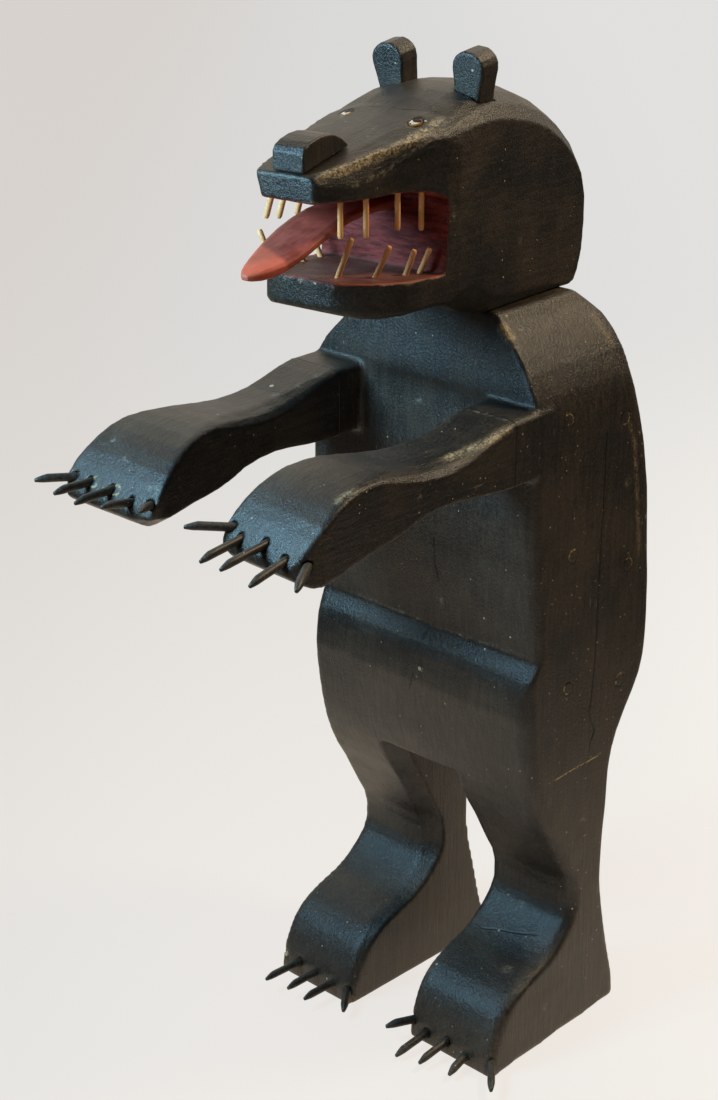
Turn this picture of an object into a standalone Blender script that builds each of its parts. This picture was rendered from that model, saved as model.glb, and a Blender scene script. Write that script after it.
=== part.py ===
"""A standing carved wooden bear with its forepaws held out, its mouth open and its tongue out.

Metres, +Z up. The bear faces -Y and its own left side is +X. Trunk, legs and arm stubs are one glued-up
block; arms, head, nose, ears, eyes, tongue, teeth and claws are separate pieces set on it or into it.
Carved outlines are drawn in millimetres on a figure DRAWN_HEIGHT tall, and follow FIGURE_HEIGHT.
"""
import math

import bmesh
import bpy
from mathutils import Matrix, Vector

# Driving dimensions
FIGURE_HEIGHT = 0.928
TRUNK_WIDTH = 0.268
LEG_GAP = 0.074
HEAD_WIDTH = 0.130
HEAD_TURN = math.radians(7.0)
CLAW_DIAMETER = 0.0072
CLAW_SOCKET_DEPTH = 0.014
TOOTH_DIAMETER = 0.0046
TOOTH_SOCKET_DEPTH = 0.008
TONGUE_THICKNESS = 0.0090
NOSE_WIDTH = 0.031
EAR_THICKNESS = 0.024
EAR_MORTISE_DEPTH = 0.010
EYE_LENGTH = 0.0145
EYE_WIDTH = 0.010
EYE_INLAY_DEPTH = 0.0035
JOINT_GAP = 0.0003
SOCKET_CLEARANCE = 0.0003
WORN_EDGE = 0.0022
DOWEL_SIDES = 8

DRAWN_HEIGHT = 928.0
MM = FIGURE_HEIGHT / DRAWN_HEIGHT
HALF_WIDTH = TRUNK_WIDTH / 2
HALF_GAP = LEG_GAP / 2

# Side view of trunk and legs: height, then distance forward (-) or back (+) of the ankles
CHEST_FRONT = ((707.5, -42.5), (672, -46.5), (637, -50.5), (630, -49.5), (585, -52.5), (530, -53.5), (482, -50.5),
               (436, -45.5), (399, -41.5))
BELLY_FRONT = ((394.5, -44), (384, -50.5), (372, -53.5), (350, -55), (322, -51.5), (286, -46), (259, -39.5),
               (232, -28.5), (209, -14.5), (174, 4), (157, 13.5), (140, 17.5), (122, 17.5), (111, 9.5), (98, -3.5),
               (85, -24), (77, -49), (66, -73), (54, -86), (36, -96), (20, -102), (0, -104))
BACK = ((707.5, 65), (697, 76), (687, 83.5), (676, 86.5), (660, 86.5), (640, 84.5), (620, 87), (605, 92),
        (574, 101.5), (528, 110.3), (482, 114), (436, 118.3), (397, 119), (372, 118), (351, 114.3), (327, 102),
        (305, 88), (289, 79.5), (272, 73.5), (254, 70), (223, 68.3), (188, 65), (150, 63.8), (115, 68.2), (93, 73.5),
        (50, 84), (18, 92), (0, 93))
# Front view of a shoulder: height, then how far in from the trunk's side
LEFT_SHOULDER_IN = ((707.5, 58.5), (698, 50.5), (688, 40), (676, 29.2), (663, 18.8), (650, 10.8), (640, 5.5),
                    (630, 2), (618, 0), (0, 0))
RIGHT_SHOULDER_IN = ((707.5, 59.5), (698, 56), (681, 40), (663, 23.5), (650, 12), (640, 5.5), (630, 2), (618, 0),
                     (0, 0))
# The left foot is shorter than the right one, and its outer side runs outwards to the toes: height, then how much
# shorter, further out at the toes and further in at the heel
LEFT_FOOT = ((707.5, 0, 0, 0), (118, 0, 0, 0), (66, 1, 3, 1), (36, 2.5, 5, 1.3), (0, 3.5, 6.5, 1.5))
# The knife took the front edges on the bear's left side of trunk and legs off broadly: height, width, depth
BROAD_EDGE = ((707.5, 2, 2), (640, 2, 2), (600, 4, 4), (560, 8, 8), (420, 9, 9), (399, 3, 3), (394.5, 2, 2),
              (384, 4, 4), (365, 9, 9), (280, 13, 11), (240, 17, 12), (200, 20, 12), (150, 22, 12), (98, 20, 12),
              (75, 14, 13), (50, 9, 11), (34, 6, 9), (20, 4, 8), (0, 3, 7))
INNER_BROAD_EDGE = ((707.5, 24, 14), (259, 24, 14), (200, 20, 13), (150, 20, 12), (100, 17, 11), (60, 10, 9),
                    (25, 5, 7), (0, 3, 4))
PLAIN_EDGE = 2.5
RIGHT_EDGE = ((707.5, 2.5), (399, 2.5), (384, 6), (350, 5), (320, 2.5), (0, 2.5))
BACK_ROUNDING = ((707.5, 6), (660, 8), (600, 8), (400, 8), (300, 7), (200, 4.5), (0, 4))
TRUNK_LEVELS = (707.5, 698, 687, 675, 662, 650, 640, 630, 618, 600, 574, 528, 482, 436, 410, 399, 394.5, 384, 374,
                360, 345, 328, 310, 294, 277)
CROTCH_LEVEL = 259
LEG_LEVELS = (242, 226, 208, 190, 174, 158, 142, 126, 114, 104, 97, 90, 84, 79, 74, 69, 62, 54, 45, 34, 20, 8, 0)

# Arms, seen from the side: distance forward, top, bottom
ARM_PROFILE = ((-30, 635.6, 575), (-80.5, 634.2, 575), (-98, 630.8, 576), (-118, 625.3, 578),
               (-138, 620.4, 580), (-158, 618.4, 581.5), (-178, 618.1, 581), (-198, 619.9, 577.5),
               (-216, 622.2, 572), (-235, 623.9, 568), (-253, 623.6, 565), (-269.5, 620.8, 561.8),
               (-284, 615.8, 558.7), (-296.5, 609.3, 556), (-308, 601.3, 554.1), (-317, 592.5, 554.9),
               (-324, 583.5, 558.3), (-329.5, 575, 562.3), (-332, 570, 565.5))
ARM_SEAM = -80.5
# Arms, seen from above: distance forward, inner face and outer face in from the trunk's side
LEFT_ARM_PLAN = ((-30, 61, 0.4), (-80.5, 59, 0.4), (-113, 58, 0), (-137, 62, 0), (-161, 65.5, 0), (-184, 70, 0),
                 (-208, 73.5, 0), (-234, 79, 0), (-253, 81.5, 0), (-267.5, 84.5, 0), (-283, 87, -1),
                 (-305, 92, -2), (-317, 95, 0), (-324, 97, 4), (-329.5, 95, 9), (-332, 91, 13))
RIGHT_ARM_PLAN = ((-30, 61, 0.4), (-80.5, 61, 0.4), (-113, 60, 1), (-145, 60, 2), (-178, 63.5, 3), (-203, 65.5, 3),
                  (-226, 70.5, 2.5), (-254, 77, -4.5), (-271.5, 81.5, -10.5), (-292, 87.5, -13.5),
                  (-308, 91.5, -16), (-317, 94, -18.5), (-324, 95, -19.5), (-329.5, 93, -16), (-332, 89, -12))
# Broad edge along the top of each arm on its left side, and along the bottom of the paw
ARM_TOP_EDGE = ((-30, 7), (-80.5, 7), (-117, 12), (-153, 18), (-200, 17), (-245, 8), (-273, 6), (-332, 6))
ARM_PLAIN_EDGE = 2.5
LEFT_PAW_UNDER = ((-30, 2.5), (-203, 2.5), (-263, 5), (-304, 9), (-332, 10))
RIGHT_PAW_UNDER = ((-30, 2.5), (-203, 2.5), (-253, 8), (-287, 15), (-305, 19), (-332, 21))
LEFT_PAW_SLANT = 0.06
# How much lower the right arm's underside and higher the left arm's top is
RIGHT_ARM_LOW = ((-30, 0), (-80.5, 2.5), (-113, 4.5), (-160, 4.5), (-245, 4), (-280, 1.5), (-332, 0))
LEFT_ARM_HIGH = ((-30, 0), (-150, 0), (-235, 1), (-284, 2), (-317, 2.5), (-332, 2))

# Head, before it is turned: its long axis runs along Y and it turns about this point
HEAD_PIVOT = (0.0, 30.0)
NECK_TOP = 707.5
HEAD_BASE = NECK_TOP
FACE_PLANE = (907.6, 0.235)
# Front half: distance forward, top edge half width and drop, upper and lower cheek edge half width and height,
# width at the lips, lower jaw half width on the left and right, lower jaw underside
FACE_STATIONS = (
    (-247.0, 22.0, 1.5, 24.5, 843, 831, 24.5, 0, 0, 0),
    (-244.5, 25.0, 1.0, 27.5, 844, 829, 27.5, 0, 0, 0),
    (-235.0, 27.2, 1.0, 30.8, 841.5, 828, 31.7, 0, 0, 0),
    (-224.0, 30.5, 1.2, 35.0, 841, 828, 35.5, 0, 0, 0),
    (-220.5, 31.2, 1.3, 36.0, 841.2, 828, 36.6, 0, 0, 0),
    (-219.5, 31.4, 1.3, 36.3, 841.3, 828, 37.0, 22, 33, 739.5),
    (-216.5, 32.0, 1.4, 37.2, 841.6, 828, 38.0, 29, 43.5, 736),
    (-211.0, 33.0, 1.6, 38.5, 842, 828, 39.5, 36, 51, 733.5),
    (-204.0, 34.5, 2.0, 39.8, 843, 827.6, 40.6, 44, 56, 731.5),
    (-192.0, 37.0, 2.6, 41.5, 845, 827, 41.8, 52.5, 59, 730.5),
    (-172.0, 42.0, 4.2, 45.0, 849, 826, 42.0, 60.5, 61.5, 730),
    (-150.0, 47.0, 6.5, 49.0, 855.5, 825, 43.0, 62.5, 62.5, 730),
    (-141.0, 48.8, 7.3, 51.8, 858.5, 823.8, 45.5, 63.0, 63.0, 730),
    (-132.0, 50.3, 7.9, 54.6, 861.3, 822, 49.8, 63.5, 63.5, 729.5),
    (-124.5, 51.3, 8.0, 57.4, 863.8, 820, 56.0, 64.0, 64.0, 728.5),
    (-117.5, 52.0, 7.6, 60.0, 866, 818, 62.0, 64.0, 64.0, 727),
)
# The right edge of the face stands out further: distance forward, how much at the top
RIGHT_FACE = ((-247, 7), (-244.5, 7), (-235, 7), (-224, 5.5), (-204, 4.5), (-172, 4.8), (-141, 5), (-124.5, 4),
              (-117.5, 2))
# Back half: top or back point, lower point, top edge half width and drop, side edge half width and drop
SKULL_STATIONS = (
    ((-106, 883.2), (-104, 721.5), 51.0, 7.2, 62.8, 17.5),
    ((-92, 888.0), (-92, 715.5), 48.5, 6.6, 64.0, 20.5),
    ((-72, 892.6), (-74, 710.5), 46.0, 6.0, 64.8, 23.0),
    ((-48, 895.0), (-54, 708.0), 43.0, 6.0, 65.0, 25.5),
    ((-22, 893.4), (-36, 707.5), 40.5, 6.6, 65.0, 27.5),
    ((5, 887.6), (-20, 707.5), 40.0, 6.6, 65.0, 28.0),
    ((31, 877.3), (-4, 707.5), 41.0, 6.2, 65.0, 27.0),
    ((55, 862.6), (10, 707.5), 43.0, 6.0, 65.0, 26.0),
    ((75, 843.5), (20, 707.5), 45.5, 5.5, 65.0, 23.0),
    ((89.2, 820.2), (29, 707.5), 48.0, 5.0, 65.0, 19.0),
    ((96, 795.5), (37, 707.5), 50.0, 4.5, 65.0, 16.0),
    ((96.5, 770.0), (44, 707.5), 52.0, 4.0, 65.0, 14.0),
    ((94.5, 745.0), (50, 707.5), 53.0, 4.0, 65.0, 13.0),
    ((90.0, 724.0), (55, 707.5), 53.0, 4.0, 64.5, 12.0),
    ((84.0, 711.5), (60, 707.5), 53.0, 3.5, 63.5, 10.0),
)
# Under edge of the cheek: distance forward, chamfer height, chamfer width
JAW_CHAMFER = ((-247, 3, 3), (-150, 3, 3), (-120, 3, 3), (-104, 15, 8), (-90, 23, 10), (-74, 24, 9), (-54, 15, 7),
               (-20, 11, 6), (20, 9, 5), (60, 3, 3))
# Mouth, seen from the side: back wall, roof and floor
MOUTH_BACK = ((-123.5, 755), (-118, 816.5))
MOUTH_ROOF = ((-131.5, 821.5), (-156, 824.5), (-200, 826.8), (-229, 828), (-285, 829))
MOUTH_FLOOR_SLOPE = math.tan(math.radians(4.0))
MOUTH_OPEN_END = -285

# Tongue: distance forward, middle of its thickness, half width
TONGUE_STATIONS = ((-119.5, 808, 17), (-135, 809.5, 19.5), (-155, 810.3, 21.5), (-175, 810.3, 22.5), (-195, 808.3, 23),
                   (-213, 804.2, 23.5), (-230, 799, 23.5), (-246, 792.8, 22.8), (-260, 787.3, 21),
                   (-272, 783.2, 18.3), (-282, 780.8, 14.5), (-290, 779.4, 10.5), (-296, 778.7, 6.2),
                   (-299, 778.5, 3))

# Teeth, in the head's frame: across, forward, lean across, lean forward, drop or rise of the tip
UPPER_LEFT_TEETH = ((30.5, -219, 0, 0, -29.5), (35.5, -192.5, 0, 0, -32), (36.5, -152, 0, 0, -31),
                    (44, -130, 0, 0, -31))
UPPER_RIGHT_TEETH = ((-30, -227.5, -7, 0, -21), (-34.5, -205, -8, 0, -25), (-37.5, -178, -8, 0, -26),
                     (-40, -142, -8, 0, -23))
LOWER_LEFT_TEETH = ((11.5, -198, 11.5, 3.5, 32.5), (30.8, -173.6, 11.5, 3.5, 26), (41.5, -147, 7, 2, 21),
                    (44, -131, 8, 2.5, 21))
LOWER_RIGHT_TEETH = ((-44, -209.5, -16.4, 1.6, 29.6), (-47, -184, -15, 1.6, 26), (-49.2, -166, -15.6, 1.6, 31),
                     (-53, -138, -15.8, 1.6, 31.5))

# Claws of the paws: how far in from the trunk's side, forward, height, then the way the claw points
LEFT_PAW_CLAWS = ((90.5, -321, 584, (-20, -29.5, 5.7)), (75.5, -322, 578.5, (0, -44.5, -4.1)),
                  (47.5, -323.5, 581.5, (0, -47.5, -4.6)), (21.5, -326, 576.5, (5, -43.7, -4.6)),
                  (6, -316.5, 576, (22, -35.5, -4)))
RIGHT_PAW_CLAWS = ((-10, -324.5, 580, (-15, -31, 4)), (10, -324.5, 580.5, (0, -38.5, 2.5)),
                   (38, -325, 580.7, (0, -39, 1)), (65, -325, 576.6, (0, -33, 7.2)),
                   (87, -324.5, 579.8, (20, -28, 9.9)))
# Claws of the feet: share of the foot's width from its inner side, forward, height, way
LEFT_FOOT_CLAWS = ((0.035, -95, 17.5, (-11, -28.5, 3.4)), (0.215, -97, 12, (0, -43.5, -2.2)),
                   (0.48, -97, 15, (0, -39.5, -2.8)), (0.725, -97.5, 10, (7, -31, 1.2)),
                   (1.0, -92, 16, (29, -34, 0)))
RIGHT_FOOT_CLAWS = ((0.955, -97.5, 18, (-0.6, -4.2, 0.4)), (0.756, -102, 17.5, (0, -45.4, 3.6)),
                    (0.516, -102, 16, (0, -38.6, 1.9)), (0.264, -102, 15, (0, -40, 2.8)),
                    (0.073, -101, 14, (20, -26, 1)))

# Ears: middle from the head's middle, front face, foot, height and half widths up the ear
EAR_PLACES = {1: (39.6, -62.8), -1: (38.0, -61.5)}
EAR_HEIGHT = 36.3
EAR_CROWN = 889.0
EAR_HALF_WIDTHS = ((0.0, 12.3), (0.3, 13.8), (0.55, 15.4), (0.72, 15.2), (0.85, 12.8), (0.94, 9.0), (1.0, 4.5))
EAR_LEAN_OUT = math.radians(6.0)
EAR_LEAN_FORWARD = math.radians(7.0)

# Nose, seen from the side, above the face plane: distance forward, height above the plane
NOSE_OUTLINE = ((-245.5, 0.4), (-245.5, 16.0), (-242.5, 19.8), (-236, 21.6), (-226, 21.8), (-216, 20.2),
                (-206, 16.5), (-197, 10.4), (-190, 3.6), (-187.5, 0.4))
EYE_ACROSS = 34.5
EYE_FORWARD = -126.0
EYE_TILT_SIDE = math.radians(8.0)
EYE_SINK = 3.2


def smooth(points, t):
    """Value at t of a curve through the points that never overshoots between them."""
    pts = sorted(points)
    if t <= pts[0][0]:
        return pts[0][1]
    if t >= pts[-1][0]:
        return pts[-1][1]
    steps = [(b[0] - a[0], (b[1] - a[1]) / (b[0] - a[0])) for a, b in zip(pts, pts[1:])]
    slopes = [steps[0][1]]
    for (_, before), (_, after) in zip(steps, steps[1:]):
        slopes.append(2 * before * after / (before + after) if before * after > 0 else 0.0)
    slopes.append(steps[-1][1])
    i = next(k for k in range(len(steps)) if t <= pts[k + 1][0])
    h = steps[i][0]
    s = (t - pts[i][0]) / h
    return ((2 * s ** 3 - 3 * s ** 2 + 1) * pts[i][1] + (s ** 3 - 2 * s ** 2 + s) * h * slopes[i]
            + (3 * s ** 2 - 2 * s ** 3) * pts[i + 1][1] + (s ** 3 - s ** 2) * h * slopes[i + 1])


def finish(name, color, roughness=0.45):
    """A painted or bare wood finish."""
    material = bpy.data.materials.get(name) or bpy.data.materials.new(name)
    material.use_nodes = True
    shader = material.node_tree.nodes["Principled BSDF"]
    shader.inputs["Base Color"].default_value = (*color, 1.0)
    shader.inputs["Roughness"].default_value = roughness
    shader.inputs["Metallic"].default_value = 0.0
    return material


def place(name, bm, material, parent):
    """Closes a mesh, turns its faces outwards and adds it to the scene."""
    bmesh.ops.remove_doubles(bm, verts=bm.verts, dist=1e-6)
    bmesh.ops.dissolve_degenerate(bm, edges=bm.edges, dist=1e-6)
    bmesh.ops.recalc_face_normals(bm, faces=bm.faces)
    mesh = bpy.data.meshes.new(name)
    bm.to_mesh(mesh)
    bm.free()
    if mesh.materials.find(material.name) < 0:
        mesh.materials.append(material)
    obj = bpy.data.objects.new(name, mesh)
    obj.parent = parent
    bpy.context.scene.collection.objects.link(obj)
    return obj


def guide(obj):
    """Marks an object as a cutter or a piece that is joined into another."""
    obj.hide_render = True
    obj.display_type = "WIRE"
    return obj


def carve(obj, tool, operation="DIFFERENCE"):
    """Cuts one solid with another, or joins them."""
    step = obj.modifiers.new(tool.name, "BOOLEAN")
    step.operation = operation
    step.solver = "EXACT"
    step.object = tool


def wear_edges(obj, width, angle=35):
    """Rounds the edges that the knife left."""
    step = obj.modifiers.new("worn edges", "BEVEL")
    step.width = width
    step.segments = 2
    step.limit_method = "ANGLE"
    step.angle_limit = math.radians(angle)


def loft(rings, close_start=True, close_end=True, bm=None):
    """Skin over rings of points that all have the same number of points."""
    bm = bm or bmesh.new()
    rows = [[bm.verts.new(point) for point in ring] for ring in rings]
    count = len(rows[0])
    for low, high in zip(rows, rows[1:]):
        for i in range(count):
            bm.faces.new((low[i], low[(i + 1) % count], high[(i + 1) % count], high[i]))
    if close_start:
        bm.faces.new(list(reversed(rows[0])))
    if close_end:
        bm.faces.new(rows[-1])
    return bm


def mirrored(points):
    """The same points on the other side, in reverse order."""
    return [(-x, y, z) for x, y, z in reversed(points)]


def value(rows, at, column=1):
    """One column of a table, read at a height or a distance forward."""
    return smooth([(row[0], row[column]) for row in rows], at)


def half_outline(level, side, inner=None):
    """Half outline of trunk or leg at one height, from the inner front corner round to the inner back one."""
    front_points = CHEST_FRONT if level >= CHEST_FRONT[-1][0] else BELLY_FRONT
    front = smooth(front_points, level) * MM
    back = smooth(BACK, level) * MM
    out = HALF_WIDTH - smooth(LEFT_SHOULDER_IN if side > 0 else RIGHT_SHOULDER_IN, level) * MM
    toe_out, heel_out = out, out
    if side > 0:
        wide, deep = value(BROAD_EDGE, level) * MM, value(BROAD_EDGE, level, 2) * MM
        front += value(LEFT_FOOT, level) * MM
        toe_out, heel_out = out + value(LEFT_FOOT, level, 2) * MM, out - value(LEFT_FOOT, level, 3) * MM
    else:
        wide = deep = smooth(RIGHT_EDGE, level) * MM
    turn = smooth(BACK_ROUNDING, level) * MM
    z = level * MM
    inner = HALF_GAP if inner is None else inner
    half = [(inner, front, z), (toe_out - wide, front, z), (toe_out - 0.36 * wide, front + 0.36 * deep, z),
            (toe_out, front + deep, z), (heel_out, back - turn, z), (heel_out - 0.3 * turn, back - 0.3 * turn, z),
            (heel_out - turn, back, z), (HALF_GAP, back, z)]
    return [(side * a, b, c) for a, b, c in half]


def inner_edge(level, side):
    """Width and depth of the edge between a leg's front and its inner face."""
    if side > 0:
        return PLAIN_EDGE * MM, PLAIN_EDGE * MM
    return value(INNER_BROAD_EDGE, level) * MM, value(INNER_BROAD_EDGE, level, 2) * MM


def trunk_ring(level):
    """Outline of the trunk, with points above the inner edges of both legs."""
    left = half_outline(level, 1, HALF_GAP + inner_edge(CROTCH_LEVEL, 1)[0])
    right = half_outline(level, -1, HALF_GAP + inner_edge(CROTCH_LEVEL, -1)[0])
    return left + right[::-1]


def leg_ring(level, side):
    """Outline of one leg: half of the trunk's outline with its inner front edge taken off."""
    wide, deep = inner_edge(level, side)
    half = half_outline(level, side, HALF_GAP + wide)
    front = half[0][1]
    return [(side * HALF_GAP, front + deep, level * MM)] + half


def body_mesh():
    """Trunk down to the crotch and both legs, in one closed skin."""
    bm = loft([trunk_ring(level) for level in TRUNK_LEVELS + (CROTCH_LEVEL,)], close_end=False)
    crotch = []
    for side in (1, -1):
        rings = [leg_ring(level, side) for level in (CROTCH_LEVEL,) + LEG_LEVELS]
        loft(rings, close_start=False, bm=bm)
        corners = [rings[0][-1], rings[0][0], rings[0][1]]
        crotch += corners if side > 0 else corners[::-1]
    bm.faces.new([bm.verts.new(point) for point in crotch])
    return bm


def arm_ring(forward, side):
    """Section of an arm across its length; its left side has the broad top edge."""
    plan = LEFT_ARM_PLAN if side > 0 else RIGHT_ARM_PLAN
    top, low = value(ARM_PROFILE, forward) * MM, value(ARM_PROFILE, forward, 2) * MM
    if side < 0:
        low -= smooth(RIGHT_ARM_LOW, forward) * MM
    else:
        top += smooth(LEFT_ARM_HIGH, forward) * MM
    inner, outer = HALF_WIDTH - value(plan, forward) * MM, HALF_WIDTH - value(plan, forward, 2) * MM
    right, left = (inner, outer) if side > 0 else (-outer, -inner)
    room = (top - low) / 2.4
    broad = smooth(ARM_TOP_EDGE, forward) * MM
    small = min(ARM_PLAIN_EDGE * MM, room)
    under_left = smooth(RIGHT_PAW_UNDER, forward) * MM if side < 0 else small
    under_right = smooth(LEFT_PAW_UNDER, forward) * MM if side > 0 else small
    points = [(right + small, top), (left - broad, top), (left - 0.3 * broad, top - min(0.22 * broad, 0.35 * room)),
              (left, top - min(0.55 * broad, room)), (left, low + min(0.6 * under_left, room)),
              (left - under_left, low), (right + under_right, low), (right, low + min(0.6 * under_right, room)),
              (right, top - small)]
    slant = LEFT_PAW_SLANT if side > 0 else 0.0
    ramp = min(max((-forward - 260) / 50, 0.0), 1.0)
    return [(x, forward * MM + slant * ramp * (outer - x), z) for x, z in points]


def arm_mesh(start, stops, side):
    """An arm, or the stub of one, from one distance forward through the others."""
    return loft([arm_ring(forward, side) for forward in (start,) + tuple(stops)])


def dowel(base, way, length, radius, tip, sides=DOWEL_SIDES, bm=None, buried=0.0, whittled=True):
    """A round peg from inside its socket to its tip, whittled from the top or just eased at the end."""
    way = Vector(way).normalized()
    turn = way.to_track_quat("Z", "Y").to_matrix()
    drop = turn.inverted() @ Vector((0, 0, -1))
    drop = Vector((drop.x, drop.y, 0.0))
    drop = drop.normalized() if drop.length > 1e-6 else Vector((0, 0, 0))
    tip_scale, shift = (0.32, 0.55) if whittled else (0.62, 0.0)
    stages = [(-buried, 1.0, 0.0), (length - tip, 1.0, 0.0), (length - 0.45 * tip, 0.5 * (1 + tip_scale) + 0.08,
                                                              0.35 * shift), (length, tip_scale, shift)]
    rings = []
    for along, scale, down in stages:
        ring = []
        for i in range(sides):
            angle = 2 * math.pi * i / sides
            point = Vector((math.cos(angle), math.sin(angle), 0)) * scale * radius + drop * down * radius
            point.z = along
            ring.append(Vector(base) + turn @ point)
        rings.append(ring)
    return loft(rings, bm=bm)


def straight_cutter(bm, base, way, depth, radius, above):
    """A plain round cutter with flat ends, from above the surface down to the bottom of a hole."""
    way = Vector(way).normalized()
    turn = way.to_track_quat("Z", "Y").to_matrix()
    rings = []
    for along in (-depth, above):
        ring = [Vector(base) + turn @ Vector((radius * math.cos(2 * math.pi * i / DOWEL_SIDES),
                                              radius * math.sin(2 * math.pi * i / DOWEL_SIDES), along))
                for i in range(DOWEL_SIDES)]
        rings.append(ring)
    return loft(rings, bm=bm)


def paw_claws(side):
    """Places and directions of one paw's claws."""
    for inward, forward, height, way in LEFT_PAW_CLAWS if side > 0 else RIGHT_PAW_CLAWS:
        yield Vector((side * (HALF_WIDTH - inward * MM), forward * MM, height * MM)), Vector(way) * MM


def foot_claws(side):
    """Places and directions of one foot's claws."""
    for share, forward, height, way in LEFT_FOOT_CLAWS if side > 0 else RIGHT_FOOT_CLAWS:
        out = HALF_GAP + share * (HALF_WIDTH - HALF_GAP)
        yield Vector((side * out, forward * MM, height * MM)), Vector(way) * MM


def head_top(forward):
    """Height of the flat face between nose and brow."""
    return FACE_PLANE[0] + FACE_PLANE[1] * forward


def jaw_floor(forward):
    """Height of the lower jaw's top."""
    back_forward, back_height = MOUTH_BACK[0]
    return back_height + MOUTH_FLOOR_SLOPE * (back_forward - forward)


def in_head(x, forward, height):
    """A point of the head, drawn about the pivot that the head turns on."""
    return (x, (forward - HEAD_PIVOT[1]) * MM, height * MM)


def head_share():
    """Drawn head widths are shares of this."""
    return HEAD_WIDTH / 130.0


def face_ring(station):
    """Section through snout and lower jaw; the gap of the mouth is cut out afterwards."""
    forward, top_half, drop, cheek_half, cheek_height, lip_height, lip_half, jaw_left, jaw_right, jaw_low = station
    k = head_share()
    top = head_top(forward)
    proud = smooth(RIGHT_FACE, forward)
    gap_top = lip_height - 9
    floor = jaw_floor(forward)
    ring = [in_head(0, forward, top)]
    for side, jaw_half in ((1, jaw_left), (-1, jaw_right)):
        if jaw_half:
            low = [(jaw_half, gap_top - 6), (jaw_half, floor - 1), (jaw_half, jaw_low + 4), (jaw_half - 4, jaw_low)]
        else:
            low = [(lip_half, gap_top - 1), (lip_half, gap_top - 2), (lip_half, gap_top - 3),
                   (lip_half - 1, gap_top - 4)]
        more = proud if side < 0 else 0.0
        half = [(0.62 * top_half, top - 0.15 * drop), (top_half + more, top - max(drop - 0.35 * more, 0.8)),
                (cheek_half + 0.6 * more, cheek_height),
                (lip_half + 0.4 * (cheek_half - lip_half) + 0.4 * more, cheek_height - 4), (lip_half, lip_height)] + low
        points = [in_head(side * x * k, forward, z) for x, z in half]
        if side > 0:
            ring += points + [in_head(0, forward, jaw_low if jaw_half else gap_top - 4)]
        else:
            ring += points[::-1]
    return ring


def skull_ring(station):
    """Slanting section through the back of the head, from the crown or nape down to the neck."""
    (top_y, top_z), (low_y, low_z), top_half, drop, side_half, side_drop = station
    k = head_share()
    length = math.hypot(top_y - low_y, top_z - low_z)
    unit = ((top_y - low_y) / length, (top_z - low_z) / length)
    rise, width = smooth([(a, b) for a, b, _ in JAW_CHAMFER], low_y), smooth([(a, c) for a, _, c in JAW_CHAMFER], low_y)
    rise = min(rise, 0.3 * length)
    full = HEAD_WIDTH / 2 / k
    middle = (length - side_drop + rise) / 2
    half = [(0, length), (0.62 * top_half, length - 0.3 * drop), (top_half, length - drop),
            (0.5 * (top_half + side_half) + 2, length - drop - 0.4 * (side_drop - drop)),
            (side_half, length - side_drop), (full, length - side_drop - 0.06 * length), (full, middle),
            (full, rise + 0.02 * length), (full, rise), (full - width, 0), (0, 0)]
    points = [in_head(x * k, low_y + unit[0] * t, low_z + unit[1] * t) for x, t in half]
    return points + mirrored(points[1:-1])


def mouth_cutter():
    """The open mouth: a wedge right across the head."""
    outline = [MOUTH_BACK[0], MOUTH_BACK[1]] + list(MOUTH_ROOF)
    outline.append((MOUTH_OPEN_END, jaw_floor(MOUTH_OPEN_END)))
    reach = HEAD_WIDTH
    rings = [[in_head(x, y, z) for y, z in outline] for x in (-reach, reach)]
    return loft(rings)


def tongue_mesh():
    """A board bent over the lower jaw, rounded at the tip and a little crowned."""
    rings = []
    half_thick = TONGUE_THICKNESS / MM / 2
    for i, (forward, height, half) in enumerate(TONGUE_STATIONS):
        before = TONGUE_STATIONS[max(i - 1, 0)]
        after = TONGUE_STATIONS[min(i + 1, len(TONGUE_STATIONS) - 1)]
        run = math.hypot(after[0] - before[0], after[1] - before[1])
        up = ((after[1] - before[1]) / run, -(after[0] - before[0]) / run)
        thin = half_thick * min(1.0, 0.3 + half / 18)
        ring = []
        for across, high in ((-1, -0.45), (-0.82, -1), (0.82, -1), (1, -0.45), (1, 0.45), (0.8, 0.92), (0, 1.05),
                             (-0.8, 0.92), (-1, 0.45)):
            rise = thin * high
            ring.append(in_head(across * half * MM, forward + up[0] * rise, height + up[1] * rise))
        rings.append(ring)
    return loft(rings)


def ear_turn(side):
    """Leans an ear outwards and forwards about the middle of its foot."""
    across, front = EAR_PLACES[side]
    foot = Vector(in_head(side * across * head_share(), front, EAR_CROWN)) + Vector((0, EAR_THICKNESS / 2, 0))
    lean = Matrix.Rotation(side * EAR_LEAN_OUT, 4, "Y") @ Matrix.Rotation(EAR_LEAN_FORWARD, 4, "X")
    return Matrix.Translation(foot) @ lean


def ear_mesh(side):
    """A thick paddle with a round top, standing in its mortise."""
    foot = -(EAR_MORTISE_DEPTH - JOINT_GAP)
    right = [(half * MM, share * EAR_HEIGHT * MM) for share, half in EAR_HALF_WIDTHS]
    outline = [(right[0][0], foot)] + right
    outline = outline + [(-x, z) for x, z in reversed(outline)]
    bm = loft([[(x, y, z) for x, z in outline] for y in (-EAR_THICKNESS / 2, EAR_THICKNESS / 2)])
    bm.transform(ear_turn(side))
    return bm


def ear_mortise(side):
    """The seat gouged into the crown round an ear's foot."""
    half = EAR_HALF_WIDTHS[0][1] * MM + 2 * SOCKET_CLEARANCE
    deep = EAR_THICKNESS / 2 + 2 * SOCKET_CLEARANCE
    corners = ((-half, -deep), (half, -deep), (half, deep), (-half, deep))
    bm = loft([[(x, y, z) for x, y in corners] for z in (-EAR_MORTISE_DEPTH, 0.022)])
    bm.transform(ear_turn(side))
    return bm


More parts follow.
